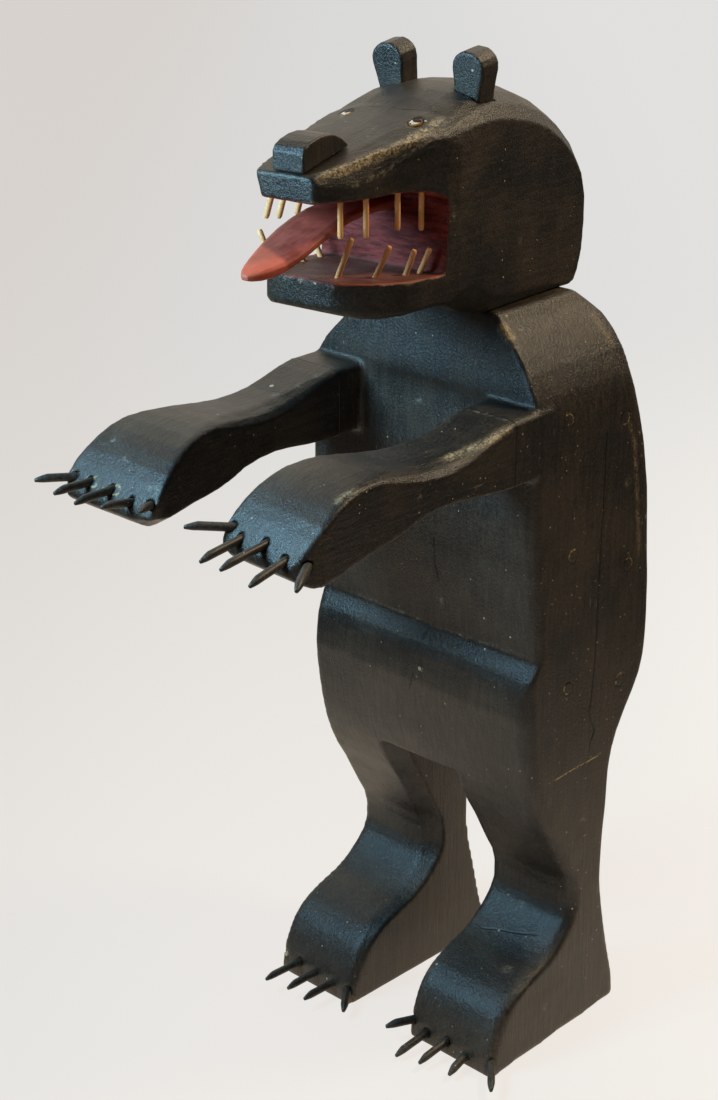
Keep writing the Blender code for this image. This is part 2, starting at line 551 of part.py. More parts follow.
def eye_turn(side):
    """The plane of an eye on the sloping face."""
    across = side * EYE_ACROSS * head_share()
    place_at = Vector(in_head(across, EYE_FORWARD, head_top(EYE_FORWARD) - EYE_SINK))
    tilt = Matrix.Rotation(math.atan(FACE_PLANE[1]), 4, "X") @ Matrix.Rotation(side * EYE_TILT_SIDE, 4, "Y")
    return Matrix.Translation(place_at) @ tilt


def oval(half_x, half_y, z, sides=16):
    return [(half_x * math.cos(2 * math.pi * i / sides), half_y * math.sin(2 * math.pi * i / sides), z)
            for i in range(sides)]


def eye_mesh(side):
    """A low domed oval inlay."""
    a, b = EYE_WIDTH / 2, EYE_LENGTH / 2
    proud = 1.2 * MM
    stages = ((1.0, -EYE_INLAY_DEPTH + JOINT_GAP), (1.0, 0.35 * proud), (0.75, 0.85 * proud), (0.35, proud))
    bm = loft([oval(a * scale, b * scale, z) for scale, z in stages])
    bm.transform(eye_turn(side))
    return bm


def eye_recess(side):
    """The oval recess that an eye is let into."""
    a, b = EYE_WIDTH / 2 + SOCKET_CLEARANCE, EYE_LENGTH / 2 + SOCKET_CLEARANCE
    bm = loft([oval(a, b, -EYE_INLAY_DEPTH), oval(a, b, 0.012)])
    bm.transform(eye_turn(side))
    return bm


def nose_mesh():
    """A half-round block, flat underneath, on the end of the face plane."""
    outline = [(forward, head_top(forward) + rise) for forward, rise in NOSE_OUTLINE]
    return loft([[in_head(x, y, z) for y, z in outline] for x in (-NOSE_WIDTH / 2, NOSE_WIDTH / 2)])


def tooth_rows():
    """Each tooth's name, root and way, in the head's frame."""
    rows = [("tooth_upper_left", UPPER_LEFT_TEETH, True), ("tooth_upper_right", UPPER_RIGHT_TEETH, True),
            ("tooth_lower_left", LOWER_LEFT_TEETH, False), ("tooth_lower_right", LOWER_RIGHT_TEETH, False)]
    for name, teeth, upper in rows:
        for number, (across, forward, lean_x, lean_y, tip) in enumerate(teeth, 1):
            root = smooth(MOUTH_ROOF + (MOUTH_BACK[1],), forward) if upper else jaw_floor(forward)
            base = Vector(in_head(across * MM, forward, root))
            yield "%s_%d" % (name, number), base, Vector((lean_x, lean_y, tip)) * MM


def build():
    for obj in list(bpy.data.objects):
        bpy.data.objects.remove(obj)
    black = finish("black_paint", (0.022, 0.020, 0.019), 0.38)
    claw_black = finish("claw_paint", (0.030, 0.026, 0.023), 0.45)
    red = finish("tongue_paint", (0.36, 0.045, 0.035), 0.5)
    bare = finish("bare_wood", (0.45, 0.27, 0.11), 0.6)
    white = finish("eye_paint", (0.62, 0.50, 0.36), 0.35)

    figure = bpy.data.objects.new("figure", None)
    turn = bpy.data.objects.new("head_turn", None)
    for empty in (figure, turn):
        bpy.context.scene.collection.objects.link(empty)
    turn.parent = figure
    turn.location = (HEAD_PIVOT[0] * MM, HEAD_PIVOT[1] * MM, 0)
    turn.rotation_euler = (0, 0, HEAD_TURN)

    body = place("body", body_mesh(), black, figure)
    wear_edges(body, WORN_EDGE * 0.9)
    foot_holes = bmesh.new()
    stops = [row[0] for row in ARM_PROFILE if row[0] < ARM_SEAM]
    for side, label in ((1, "left"), (-1, "right")):
        stub = place("arm_stub_" + label, arm_mesh(ARM_PROFILE[0][0], (ARM_SEAM,), side), black, figure)
        carve(body, guide(stub), "UNION")
        arm = place("arm_" + label, arm_mesh(ARM_SEAM - JOINT_GAP / MM, stops, side), black, figure)
        paw_holes = bmesh.new()
        for limb, claws, holes in (("paw", paw_claws(side), paw_holes), ("foot", foot_claws(side), foot_holes)):
            for number, (base, way) in enumerate(claws, 1):
                radius = CLAW_DIAMETER / 2
                straight_cutter(holes, base, way, CLAW_SOCKET_DEPTH, radius + SOCKET_CLEARANCE, 0.012)
                tip = min(0.011, 0.4 * way.length)
                claw = dowel(base, way, way.length, radius, tip, buried=CLAW_SOCKET_DEPTH - JOINT_GAP)
                place("claw_%s_%s_%d" % (label, limb, number), claw, claw_black, figure)
        carve(arm, guide(place("paw_holes_" + label, paw_holes, black, figure)))
    carve(body, guide(place("foot_holes", foot_holes, black, figure)))

    rings = [face_ring(s) for s in FACE_STATIONS] + [skull_ring(s) for s in SKULL_STATIONS]
    head = place("head", loft(rings), black, turn)
    carve(head, guide(place("mouth", mouth_cutter(), black, turn)))
    seats = bmesh.new()
    for name, base, way in tooth_rows():
        radius = TOOTH_DIAMETER / 2
        straight_cutter(seats, base, way, TOOTH_SOCKET_DEPTH, radius + SOCKET_CLEARANCE, 0.004)
        tooth = dowel(base, way, way.length, radius, 0.0012, sides=8, buried=TOOTH_SOCKET_DEPTH - JOINT_GAP,
                      whittled=False)
        place(name, tooth, bare, turn)
    carve(head, guide(place("tooth_holes", seats, black, turn)))
    for side, label in ((1, "left"), (-1, "right")):
        carve(head, guide(place("ear_seat_" + label, ear_mortise(side), black, turn)))
        carve(head, guide(place("eye_seat_" + label, eye_recess(side), black, turn)))
        wear_edges(place("ear_" + label, ear_mesh(side), black, turn), WORN_EDGE)
        place("eye_" + label, eye_mesh(side), white, turn)
    wear_edges(place("nose", nose_mesh(), black, turn), WORN_EDGE * 0.7)
    place("tongue", tongue_mesh(), red, turn)
    return figure


def centre(figure):
    """Puts the origin on the floor under the middle of the figure's length."""
    bpy.context.view_layer.update()
    reach = []
    for obj in bpy.data.objects:
        if obj.type == "MESH" and not obj.hide_render:
            reach += [(obj.matrix_world @ v.co).y for v in obj.data.vertices]
    figure.location.y = -(min(reach) + max(reach)) / 2


centre(build())
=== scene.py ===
"""Carved bear figure: sawn blocks under black paint, a red mouth, dowel teeth and dowel claws."""
import math
import random

import bmesh
import bpy
import numpy as np
from mathutils import Matrix, Vector, noise


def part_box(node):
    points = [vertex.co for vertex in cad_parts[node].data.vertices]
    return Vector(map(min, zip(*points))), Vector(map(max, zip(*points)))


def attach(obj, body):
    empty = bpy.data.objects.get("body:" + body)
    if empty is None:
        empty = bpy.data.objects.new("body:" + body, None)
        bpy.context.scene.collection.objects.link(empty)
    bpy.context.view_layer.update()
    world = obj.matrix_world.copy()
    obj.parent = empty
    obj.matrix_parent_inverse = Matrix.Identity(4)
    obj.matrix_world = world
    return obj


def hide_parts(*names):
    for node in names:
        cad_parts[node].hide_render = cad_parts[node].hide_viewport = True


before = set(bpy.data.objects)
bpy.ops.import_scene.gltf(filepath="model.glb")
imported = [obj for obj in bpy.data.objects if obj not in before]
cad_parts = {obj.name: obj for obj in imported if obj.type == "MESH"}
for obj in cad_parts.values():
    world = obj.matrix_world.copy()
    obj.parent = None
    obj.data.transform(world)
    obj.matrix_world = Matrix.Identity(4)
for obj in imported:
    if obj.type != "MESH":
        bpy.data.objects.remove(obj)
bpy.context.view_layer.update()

MM = 0.001

# Marks are given in millimetres from the ankles, which stand this far behind the frame's origin
SEAM_FROM_ANKLES = 0.0808
DRAWN_BACK = float(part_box("arm_left")[1][1]) + SEAM_FROM_ANKLES

# The camera stands where the photograph was taken from
CAMERA_PLACE = (1.214, DRAWN_BACK - 1.381, 1.191)
CAMERA_TURN = math.radians(44.144)
CAMERA_DROP = math.radians(21.697)
SENSOR = 36.0
LENS_IN_PIXELS, PICTURE_HEIGHT_IN_PIXELS = 2150.0, 1100.0
LENS = SENSOR * LENS_IN_PIXELS / PICTURE_HEIGHT_IN_PIXELS

# How finely each block is worked, in millimetres, and how often it is rubbed down
TRUNK_GRAIN, TRUNK_RUBS = 2.9, 4
HEAD_GRAIN, HEAD_RUBS = 1.7, 5
ARM_GRAIN, ARM_RUBS = 1.8, 5
FINE_GRAIN, FINE_RUBS = 0.8, 4

# The arms are glued to their stubs on this plane, and the head turns about this upright line
ARM_SEAM = DRAWN_BACK - 0.08065
ARM_LEVEL = 0.5
HEAD_PIVOT = Vector((0.0, DRAWN_BACK + 0.030, 0.0))
HEAD_TURN = math.radians(7.0)

# The open mouth seen from the side, in millimetres: distance forward in the head, height
MOUTH_OUTLINE = ((-123.5, 755.0), (-118.0, 816.5), (-131.5, 821.5), (-156.0, 824.5), (-200.0, 826.8),
                 (-229.0, 828.0), (-285.0, 829.0), (-285.0, 766.3))
HEAD_FORWARD = 30.0


# Meshes

def link(name, mesh):
    piece = bpy.data.objects.new(name, mesh)
    bpy.context.scene.collection.objects.link(piece)
    return piece


def coordinates(mesh):
    co = np.empty(len(mesh.vertices) * 3, np.float32)
    mesh.vertices.foreach_get("co", co)
    return co.reshape(-1, 3).astype(float)


def put_coordinates(mesh, co):
    mesh.vertices.foreach_set("co", co.astype(np.float32).ravel())
    mesh.update()


def normals(mesh):
    no = np.empty(len(mesh.vertices) * 3, np.float32)
    mesh.vertices.foreach_get("normal", no)
    return no.reshape(-1, 3).astype(float)


def put_mask(mesh, name, values):
    mask = mesh.attributes.get(name) or mesh.attributes.new(name, "FLOAT", "POINT")
    mask.data.foreach_set("value", np.clip(values, 0.0, 1.0).astype(np.float32))


def get_mask(mesh, name):
    values = np.zeros(len(mesh.vertices), np.float32)
    if name in mesh.attributes:
        mesh.attributes[name].data.foreach_get("value", values)
    return values.astype(float)


def neighbour_mean(mesh, values, rounds=1):
    """Each vertex takes the mean of its neighbours' values."""
    edges = np.empty(len(mesh.edges) * 2, np.int32)
    mesh.edges.foreach_get("vertices", edges)
    a, b = edges.reshape(-1, 2).T
    count = len(mesh.vertices)
    degree = np.maximum(np.bincount(a, minlength=count) + np.bincount(b, minlength=count), 1)
    table = values.reshape(count, -1)
    for _ in range(rounds):
        table = np.stack([(np.bincount(a, table[b, k], count) + np.bincount(b, table[a, k], count)) / degree
                          for k in range(table.shape[1])], 1)
    return table.reshape(values.shape)


def worked(name, nodes, grain, rubs):
    """One finer mesh from copies of CAD solids, remeshed and rubbed down so that its arrises are eased."""
    bm = bmesh.new()
    for node in nodes:
        bm.from_mesh(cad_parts[node].data)
    mesh = bpy.data.meshes.new(name)
    bm.to_mesh(mesh)
    bm.free()
    piece = link(name, mesh)
    blocks = piece.modifiers.new("blocks", "REMESH")
    blocks.mode = "VOXEL"
    blocks.voxel_size = grain * MM * 1.0
    keep_modifiers(piece)
    rub_down(piece.data, rubs)
    return piece


def rub_down(mesh, rounds):
    """Smooths a mesh without shrinking it."""
    co = coordinates(mesh)
    for _ in range(rounds):
        for step in (0.5, -0.52):
            co += step * (neighbour_mean(mesh, co) - co)
    put_coordinates(mesh, co)


def settled(piece, points):
    """Drawn points in millimetres, moved to the nearest place on a piece."""
    out = []
    for x, y, z in points:
        near = piece.closest_point_on_mesh(Vector((x * MM, y * MM + DRAWN_BACK, z * MM)))[1]
        out.append(tuple(c / MM for c in near))
    return out


def dab(piece, points, radius, mask, strength=1.0):
    """A soft patch of a mask round each point."""
    mesh = piece.data
    co = coordinates(mesh)
    for point in settled(piece, points):
        gap = np.linalg.norm(co - np.array(point) * MM, axis=1) / MM
        put_mask(mesh, mask, np.maximum(get_mask(mesh, mask), strength * np.clip(1.25 - gap / radius, 0, 1)))


def keep_modifiers(piece):
    graph = bpy.context.evaluated_depsgraph_get()
    finished = bpy.data.meshes.new_from_object(piece.evaluated_get(graph), depsgraph=graph)
    piece.modifiers.clear()
    piece.data = finished
    finished.materials.clear()


def noise_at(points, size, seed=0.0):
    """Soft noise between about -1 and 1 at points, in metres, with lumps of that size."""
    shift = Vector((seed * 7.3, seed * 3.1, seed * 5.7))
    return np.array([noise.noise(Vector(p) / size + shift) for p in points])


def hand_worked(piece, lumps, depth, seed):
    """Slow rises and hollows that a rasp leaves."""
    mesh = piece.data
    co, no = coordinates(mesh), normals(mesh)
    push = depth * (0.7 * noise_at(co, lumps, seed) + 0.3 * noise_at(co, lumps * 0.3, seed + 1))
    put_coordinates(mesh, co + no * push[:, None] * MM)


def line_distance(co, line):
    """Distance of points from an open line, and how far along the line its nearest point is."""
    best, along = np.full(len(co), np.inf), np.zeros(len(co))
    run = 0.0
    for start, end in zip(line[:-1], line[1:]):
        a, way = np.array(start), np.array(end) - np.array(start)
        length = float(np.linalg.norm(way))
        t = np.clip(((co - a) @ way) / max(length * length, 1e-12), 0.0, 1.0)
        gap = np.linalg.norm(co - a - t[:, None] * way, axis=1)
        nearer = gap < best
        best[nearer] = gap[nearer]
        along[nearer] = run + t[nearer] * length
        run += length
    return best, along / max(run, 1e-9)


def wandering(line, step, sway, seed):
    """A line through points in millimetres, cut up and made to wander a little. In metres."""
    points = [Vector(p) * MM for p in line]
    out = [points[0]]
    for a, b in zip(points[:-1], points[1:]):
        pieces = max(1, round((b - a).length / (step * MM)))
        for i in range(1, pieces + 1):
            p = a.lerp(b, i / pieces)
            out.append(p + noise.noise_vector(p / (4 * step * MM) + Vector((seed, 0, 0))) * sway * MM)
    return [tuple(p) for p in out]


def refined(piece, near, rounds=2):
    """Cuts up the faces where near(points) is true."""
    for _ in range(rounds):
        bm = bmesh.new()
        bm.from_mesh(piece.data)
        co = np.array([v.co for v in bm.verts])
        chosen = near(co)
        bm.verts.ensure_lookup_table()
        edges = [e for e in bm.edges if chosen[e.verts[0].index] and chosen[e.verts[1].index]]
        bmesh.ops.subdivide_edges(bm, edges=edges, cuts=1, use_grid_fill=True)
        bmesh.ops.triangulate(bm, faces=[f for f in bm.faces if len(f.verts) > 4])
        bm.to_mesh(piece.data)
        bm.free()


def score(piece, line, width, depth, mask, strength=1.0, reach=4.5):
    """A narrow groove along a line that lies on the surface."""
    refined(piece, lambda co: line_distance(co, line)[0] < reach * MM)
    mesh = piece.data
    co, no = coordinates(mesh), normals(mesh)
    gap, along = line_distance(co, line)
    shape = np.clip(1.0 - gap / (width * MM), 0.0, 1.0)
    ends = np.clip(np.minimum(along, 1.0 - along) * 14.0, 0.0, 1.0)
    put_coordinates(mesh, co - no * (shape * ends * depth * MM)[:, None])
    soft = np.clip(1.3 - gap / (width * MM), 0.0, 1.0) * ends * strength
    put_mask(mesh, mask, np.maximum(get_mask(mesh, mask), soft))


def band(piece, line, width, mask, strength=1.0, seed=0.0):
    """A strip of a mask along a drawn line, broken up along its length; it carries rubbed wear, painted
    highlights and painted crease shade.
    """
    mesh = piece.data
    co = coordinates(mesh)
    gap, along = line_distance(co, [tuple(c * MM for c in p) for p in settled(piece, line)])
    near = gap < 3 * width * MM
    broken = np.zeros(len(co))
    broken[near] = 0.75 + 0.6 * noise_at(co[near], 0.009, seed)
    soft = np.clip(1.4 - gap / (width * MM), 0, 1) * np.clip(np.minimum(along, 1 - along) * 9, 0, 1)
    put_mask(mesh, mask, np.maximum(get_mask(mesh, mask), strength * soft * broken))


def wear_and_shade_masks(piece, grain):
    """Masks for raised arrises, where paint wears thin, and for inner corners, which take painted shade."""
    mesh = piece.data
    co, no = coordinates(mesh), normals(mesh)
    bend = ((co - neighbour_mean(mesh, co, 2)) * no).sum(1) / (grain * MM)
    bend = neighbour_mean(mesh, bend, 3)
    put_mask(mesh, "worn", bend * 9.0 - 0.45)
    put_mask(mesh, "hollow", -bend * 9.0 - 0.25)


def shade_smooth(piece):
    piece.data.polygons.foreach_set("use_smooth", [True] * len(piece.data.polygons))
    piece.data.update()


# Colours

PAINT_DARK, PAINT_LIGHT = (0.0075, 0.0065, 0.0058), (0.050, 0.037, 0.025)
THIN_PAINT = (0.16, 0.105, 0.055)
# Painted shade: darker paint in hollows, inner corners and creases
HOLLOW_SHADE = (0.004, 0.0035, 0.003)
SCRATCHED_PAINT = (0.16, 0.125, 0.085)
CREAM = (0.46, 0.39, 0.27)
# Black in cracks and open joints, and painted shade along the chest crease
CRACK_AND_SHADE_BLACK = (0.0022, 0.0018, 0.0015)

# Rubbed marks and painted highlights: mask, then scale, detail, roughness and range of the noise that breaks
# it up, then colour; the gold mask is painted highlight over worn edges, and the scuff mask also holds
# painted highlight
RUBBED_AND_HIGHLIGHT_MARKS = (("scuff_and_highlight", 240.0, 4.0, 0.70, 0.42, 0.70, (0.27, 0.25, 0.20)),
                ("bare", 300.0, 3.0, 0.60, 0.38, 0.55, (0.56, 0.40, 0.18)),
                ("gold", 420.0, 4.0, 0.75, 0.38, 0.64, (0.50, 0.38, 0.22)))

# Pairs give the dark and the light end of one paint
MOUTH_INSIDE = ((0.25, 0.038, 0.026), (0.38, 0.064, 0.045))
MOUTH_WALL = ((0.10, 0.015, 0.012), (0.25, 0.042, 0.034))
MOUTH_FLOOR = ((0.10, 0.036, 0.028), (0.17, 0.072, 0.058))
# The bright red jaw rim is its paint together with a painted highlight on the rim's chamfer
MOUTH_RIM = (0.56, 0.122, 0.056)
TONGUE = ((0.20, 0.032, 0.022), (0.37, 0.078, 0.055))
TONGUE_TIP = ((0.46, 0.070, 0.036), (0.60, 0.120, 0.070))
TONGUE_EDGE = (0.5, 0.17, 0.10)
TOOTH = ((0.80, 0.35, 0.115), (0.95, 0.53, 0.23))
CLAW = ((0.016, 0.012, 0.009), (0.075, 0.060, 0.045))
CLAW_FLECK = (0.5, 0.44, 0.33)
STUB = ((0.35, 0.25, 0.13), (0.60, 0.48, 0.30))
EYE_CREAM = ((0.46, 0.34, 0.25), (0.74, 0.62, 0.50))
EYE_RING = (0.27, 0.135, 0.045)
PUPIL_BLACK = (0.008, 0.004, 0.003)

# Grain direction: one along the wood is drawn out, the other two are not
ALONG_Z, ALONG_Y = (1.0, 1.0, 0.07), (1.0, 0.07, 1.0)
ALONG_DOWEL = (1.0, 1.0, 0.08)
FLECK_SHARE = 0.22
DOWEL_DRYNESS = 0.13


# Node groups

class Nodes:
    """Short words for building a node tree."""

    def __init__(self, tree):
        self.tree = tree

    def add(self, kind, **settings):
        node = self.tree.nodes.new(kind)
        for key, value in settings.items():
            if hasattr(node, key):
                setattr(node, key, value)
            else:
                node.inputs[key].default_value = value
        return node

    def join(self, source, target):
        self.tree.links.new(source, target)
        return target

    def sum(self, operation, a, b=0.0, c=None, clamp=False):
        node = self.add("ShaderNodeMath", operation=operation, use_clamp=clamp)
        for place, value in enumerate((a, b) if c is None else (a, b, c)):
            self.feed(node.inputs[place], value)
        return node.outputs[0]

    def feed(self, socket, value):
        if isinstance(value, bpy.types.NodeSocket):
            self.join(value, socket)
        else:
            socket.default_value = value

    def ramp(self, value, low, high, to_low=0.0, to_high=1.0):
        node = self.add("ShaderNodeMapRange", interpolation_type="SMOOTHSTEP")
        for place, item in enumerate((value, low, high, to_low, to_high)):
            self.feed(node.inputs[place], item)
        return node.outputs[0]

    def blend(self, factor, a, b):
        node = self.add("ShaderNodeMix", data_type="RGBA")
        self.feed(node.inputs[0], factor)
        self.feed(node.inputs[6], colour(a) if isinstance(a, tuple) else a)
        self.feed(node.inputs[7], colour(b) if isinstance(b, tuple) else b)
        return node.outputs[2]

    def noise(self, vector, scale, detail=2.0, roughness=0.5):
        node = self.add("ShaderNodeTexNoise", Scale=scale, Detail=detail, Roughness=roughness)
        self.join(vector, node.inputs["Vector"])
        return node.outputs["Fac"]

    def stretched(self, vector, stretch):
        node = self.add("ShaderNodeVectorMath", operation="MULTIPLY")
        self.join(vector, node.inputs[0])
        self.feed(node.inputs[1], stretch)
        return node.outputs[0]

    def mask(self, name):
        return self.add("ShaderNodeAttribute", attribute_name=name).outputs["Fac"]


def colour(triple):
    return (*triple, 1.0)


def group_of(name, inputs, outputs):
    """A new shader group with named sockets."""
    tree = bpy.data.node_groups.new(name, "ShaderNodeTree")
    for label, kind, value in inputs:
        socket = tree.interface.new_socket(label, in_out="INPUT", socket_type="NodeSocket" + kind)
        if value is not None:
            socket.default_value = value
    for label, kind in outputs:
        tree.interface.new_socket(label, in_out="OUTPUT", socket_type="NodeSocket" + kind)
    build = Nodes(tree)
    entry = build.add("NodeGroupInput")
    leave = build.add("NodeGroupOutput")
    return tree, build, entry.outputs, leave.inputs


def brushed_paint():
    """Old paint brushed on along the wood: slow tone changes, brush lines and fine pits."""
    tree, n, given, out = group_of(
        "brushed paint",
        (("Vector", "Vector", None), ("Grain", "Vector", ALONG_Z), ("Dark", "Color", colour(PAINT_DARK)),
         ("Light", "Color", colour(PAINT_LIGHT))),
        (("Colour", "Color"), ("Roughness", "Float"), ("Height", "Float")))
    along = n.stretched(given["Vector"], given["Grain"])
    slow = n.noise(given["Vector"], 13.0, 4.0, 0.6)
    lines = n.noise(along, 260.0, 3.0, 0.6)
    pits = n.noise(given["Vector"], 460.0, 4.0, 0.7)
    tone = n.sum("ADD", n.sum("MULTIPLY", slow, 0.45), n.sum("MULTIPLY", lines, 0.25))
    tone = n.sum("ADD", tone, n.sum("MULTIPLY", pits, 0.50))
    n.join(n.blend(n.ramp(tone, 0.49, 0.76), given["Dark"], given["Light"]), out["Colour"])
    blotch = n.noise(given["Vector"], 48.0, 3.0, 0.6)
    rough = n.sum("MULTIPLY_ADD", slow, 0.24, 0.055)
    rough = n.sum("ADD", rough, n.sum("MULTIPLY", blotch, 0.14))
    rough = n.sum("ADD", rough, n.sum("MULTIPLY", pits, 0.26))
    n.join(rough, out["Roughness"])
    n.join(n.sum("ADD", n.sum("MULTIPLY", pits, 0.6), n.sum("MULTIPLY", lines, 0.5)), out["Height"])
    return tree


# Specks: scale of the cells, largest radius in a cell, share of the chosen cells
SMALL_SPECKS, SPECKS, DRIPS = (150.0, 0.085, 1.0), (70.0, 0.070, 1.0), (27.0, 0.045, 0.8)
SCRATCHES = (90.0, 0.060, 1.4)


def cell_dots(n, source, given, scale, radius, share):
    """A round dot in some of the cells that a point set makes."""
    cells = n.add("ShaderNodeTexVoronoi", Scale=scale, feature="F1")
    n.join(source, cells.inputs["Vector"])
    parts = n.add("ShaderNodeSeparateColor")
    n.join(cells.outputs["Color"], parts.inputs[0])
    chosen = n.sum("LESS_THAN", parts.outputs[0], n.sum("MULTIPLY", given["Amount"], share))
    size = n.sum("MULTIPLY", n.sum("MULTIPLY_ADD", parts.outputs[1], radius, radius * 0.3), given["Size"])
    return n.sum("MULTIPLY", n.sum("LESS_THAN", cells.outputs["Distance"], size), chosen)


def cream_specks():
    """Small chips and drips that show as cream dots, and short scratches along the grain."""
    tree, n, given, out = group_of(
        "cream specks",
        (("Vector", "Vector", None), ("Along", "Vector", (1.0, 1.0, 0.2)), ("Amount", "Float", 0.3),
         ("Size", "Float", 1.0)),
        (("Mask", "Float"), ("Scratch", "Float")))
    found = cell_dots(n, given["Vector"], given, *SMALL_SPECKS)
    for kind in (SPECKS, DRIPS):
        found = n.sum("MAXIMUM", found, cell_dots(n, given["Vector"], given, *kind))
    streaks = n.stretched(given["Vector"], given["Along"])
    n.join(found, out["Mask"])
    n.join(cell_dots(n, streaks, given, *SCRATCHES), out["Scratch"])
    return tree


def edge_wear():
    """Where paint is rubbed thin: a mask for arrises broken up by noise."""
    tree, n, given, out = group_of(
        "edge wear", (("Vector", "Vector", None), ("Edge", "Float", 0.0), ("Amount", "Float", 0.5)),
        (("Mask", "Float"),))
    broken = n.noise(given["Vector"], 170.0, 5.0, 0.7)
    patch = n.noise(given["Vector"], 22.0, 2.0, 0.5)
    reach = n.sum("MULTIPLY", n.sum("MULTIPLY", given["Edge"], given["Amount"]), n.ramp(patch, 0.35, 0.65))
    n.join(n.ramp(n.sum("ADD", reach, broken), 0.92, 1.12), out["Mask"])
    return tree


PAINT_GROUP, SPECK_GROUP, WEAR_GROUP = brushed_paint(), cream_specks(), edge_wear()


def new_material(name):
    material = bpy.data.materials.new(name)
    material.use_nodes = True
    tree = material.node_tree
    tree.nodes.clear()
    n = Nodes(tree)
    shader = n.add("ShaderNodeBsdfPrincipled")
    leave = n.add("ShaderNodeOutputMaterial")
    n.join(shader.outputs[0], leave.inputs[0])
    place = n.add("ShaderNodeTexCoord").outputs["Object"]
    return material, n, shader, place


def use_group(n, tree, **values):
    node = n.add("ShaderNodeGroup")
    node.node_tree = tree
    for key, value in values.items():
        n.feed(node.inputs[key], colour(value) if key in ("Dark", "Light") else value)
    return node.outputs


def bumped(n, shader, height, distance, strength):
    bump = n.add("ShaderNodeBump", Strength=strength, Distance=distance)
    n.join(height, bump.inputs["Height"])
    n.join(bump.outputs[0], shader.inputs["Normal"])


def red_mouth(n, place, inside, shown):
    """Red paint in the mouth, laid over the black."""
    tone = n.noise(place, 60.0, 4.0, 0.6)
    streak = n.noise(n.stretched(place, (0.16, 0.16, 1.0)), 300.0, 4.0, 0.65)
    inner = n.blend(n.ramp(tone, 0.35, 0.65), *MOUTH_INSIDE)
    inner = n.blend(n.mask("wall"), inner, n.blend(n.ramp(streak, 0.35, 0.65), *MOUTH_WALL))
    inner = n.blend(n.mask("floor"), inner, n.blend(n.ramp(tone, 0.3, 0.7), *MOUTH_FLOOR))
    # The rim red includes a painted highlight on the jaw's chamfer
    inner = n.blend(n.mask("rim"), inner, MOUTH_RIM)
    return n.blend(inside, shown, inner)


def black_paint(name, grain, wear=0.75, red=False):
    """Black paint over bare golden wood, with a brown cast where it is thin."""
    material, n, shader, place = new_material(name)
    paint = use_group(n, PAINT_GROUP, Vector=place, Grain=grain, Dark=PAINT_DARK, Light=PAINT_LIGHT)
    scratch_way = tuple(2 * g if g < 1 else 1.0 for g in grain)
    marks = use_group(n, SPECK_GROUP, Vector=place, Along=scratch_way, Amount=FLECK_SHARE)
    rubbed = use_group(n, WEAR_GROUP, Vector=place, Edge=n.mask("worn"), Amount=wear)["Mask"]
    shown = n.blend(n.sum("MULTIPLY", rubbed, 0.55), paint["Colour"], THIN_PAINT)
    # Painted shade darkens hollows, inner corners and creases
    shown = n.blend(n.sum("MULTIPLY", n.mask("hollow"), 0.5), shown, HOLLOW_SHADE)
    # Gold and scuff marks include painted highlights along edges
    for mask, scale, detail, roughness, low, high, tone in RUBBED_AND_HIGHLIGHT_MARKS:
        broken = n.ramp(n.noise(place, scale, detail, roughness), low, high)
        shown = n.blend(n.sum("MULTIPLY", n.mask(mask), broken), shown, tone)
    shown = n.blend(n.sum("MULTIPLY", marks["Scratch"], 0.6), shown, SCRATCHED_PAINT)
    shown = n.blend(marks["Mask"], shown, CREAM)
    # Cracks and joints go black, and the chest crease takes painted shade
    shown = n.blend(n.mask("crack_and_crease_shade"), shown, CRACK_AND_SHADE_BLACK)
    rough = paint["Roughness"]
    if red:
        inside = n.mask("mouth")
        shown = red_mouth(n, place, inside, shown)
        rough = n.sum("MAXIMUM", rough, n.sum("MULTIPLY", inside, 0.52))
        n.join(n.sum("MULTIPLY_ADD", inside, -0.36, 0.5), shader.inputs["Specular IOR Level"])
    n.join(shown, shader.inputs["Base Color"])
    n.join(rough, shader.inputs["Roughness"])
    bumped(n, shader, paint["Height"], 0.0012, 0.9)
    return material


def dowel_wood(name, tones, specks=0.0):
    """Plain or painted dowel with fine lines along it."""
    material, n, shader, place = new_material(name)
    paint = use_group(n, PAINT_GROUP, Vector=place, Grain=ALONG_DOWEL, Dark=tones[0], Light=tones[1])
    shown = paint["Colour"]
    if specks:
        flecks = use_group(n, SPECK_GROUP, Vector=place, Amount=specks, Size=0.8)["Mask"]
        shown = n.blend(flecks, shown, CLAW_FLECK)
    n.join(shown, shader.inputs["Base Color"])
    n.join(n.sum("ADD", paint["Roughness"], DOWEL_DRYNESS), shader.inputs["Roughness"])
    bumped(n, shader, paint["Height"], 0.0003, 0.4)
    return material


def tongue_paint():
    material, n, shader, place = new_material("tongue_red")
    tone = n.noise(place, 45.0, 4.0, 0.6)
    fine = n.noise(n.stretched(place, (1.0, 0.12, 1.0)), 300.0, 3.0, 0.6)
    mixed = n.sum("ADD", n.sum("MULTIPLY", tone, 0.7), n.sum("MULTIPLY", fine, 0.4))
    shown = n.blend(n.ramp(mixed, 0.35, 0.75), *TONGUE)
    tip = n.blend(n.ramp(mixed, 0.35, 0.75), *TONGUE_TIP)
    shown = n.blend(n.mask("tip"), shown, tip)
    shown = n.blend(n.sum("MULTIPLY", n.mask("worn"), 0.35), shown, TONGUE_EDGE)
    n.join(shown, shader.inputs["Base Color"])
    n.join(n.ramp(mixed, 0.3, 0.8, 0.42, 0.60), shader.inputs["Roughness"])
    shader.inputs["Specular IOR Level"].default_value = 0.28
    bumped(n, shader, mixed, 0.0004, 0.4)
    return material


# Materials

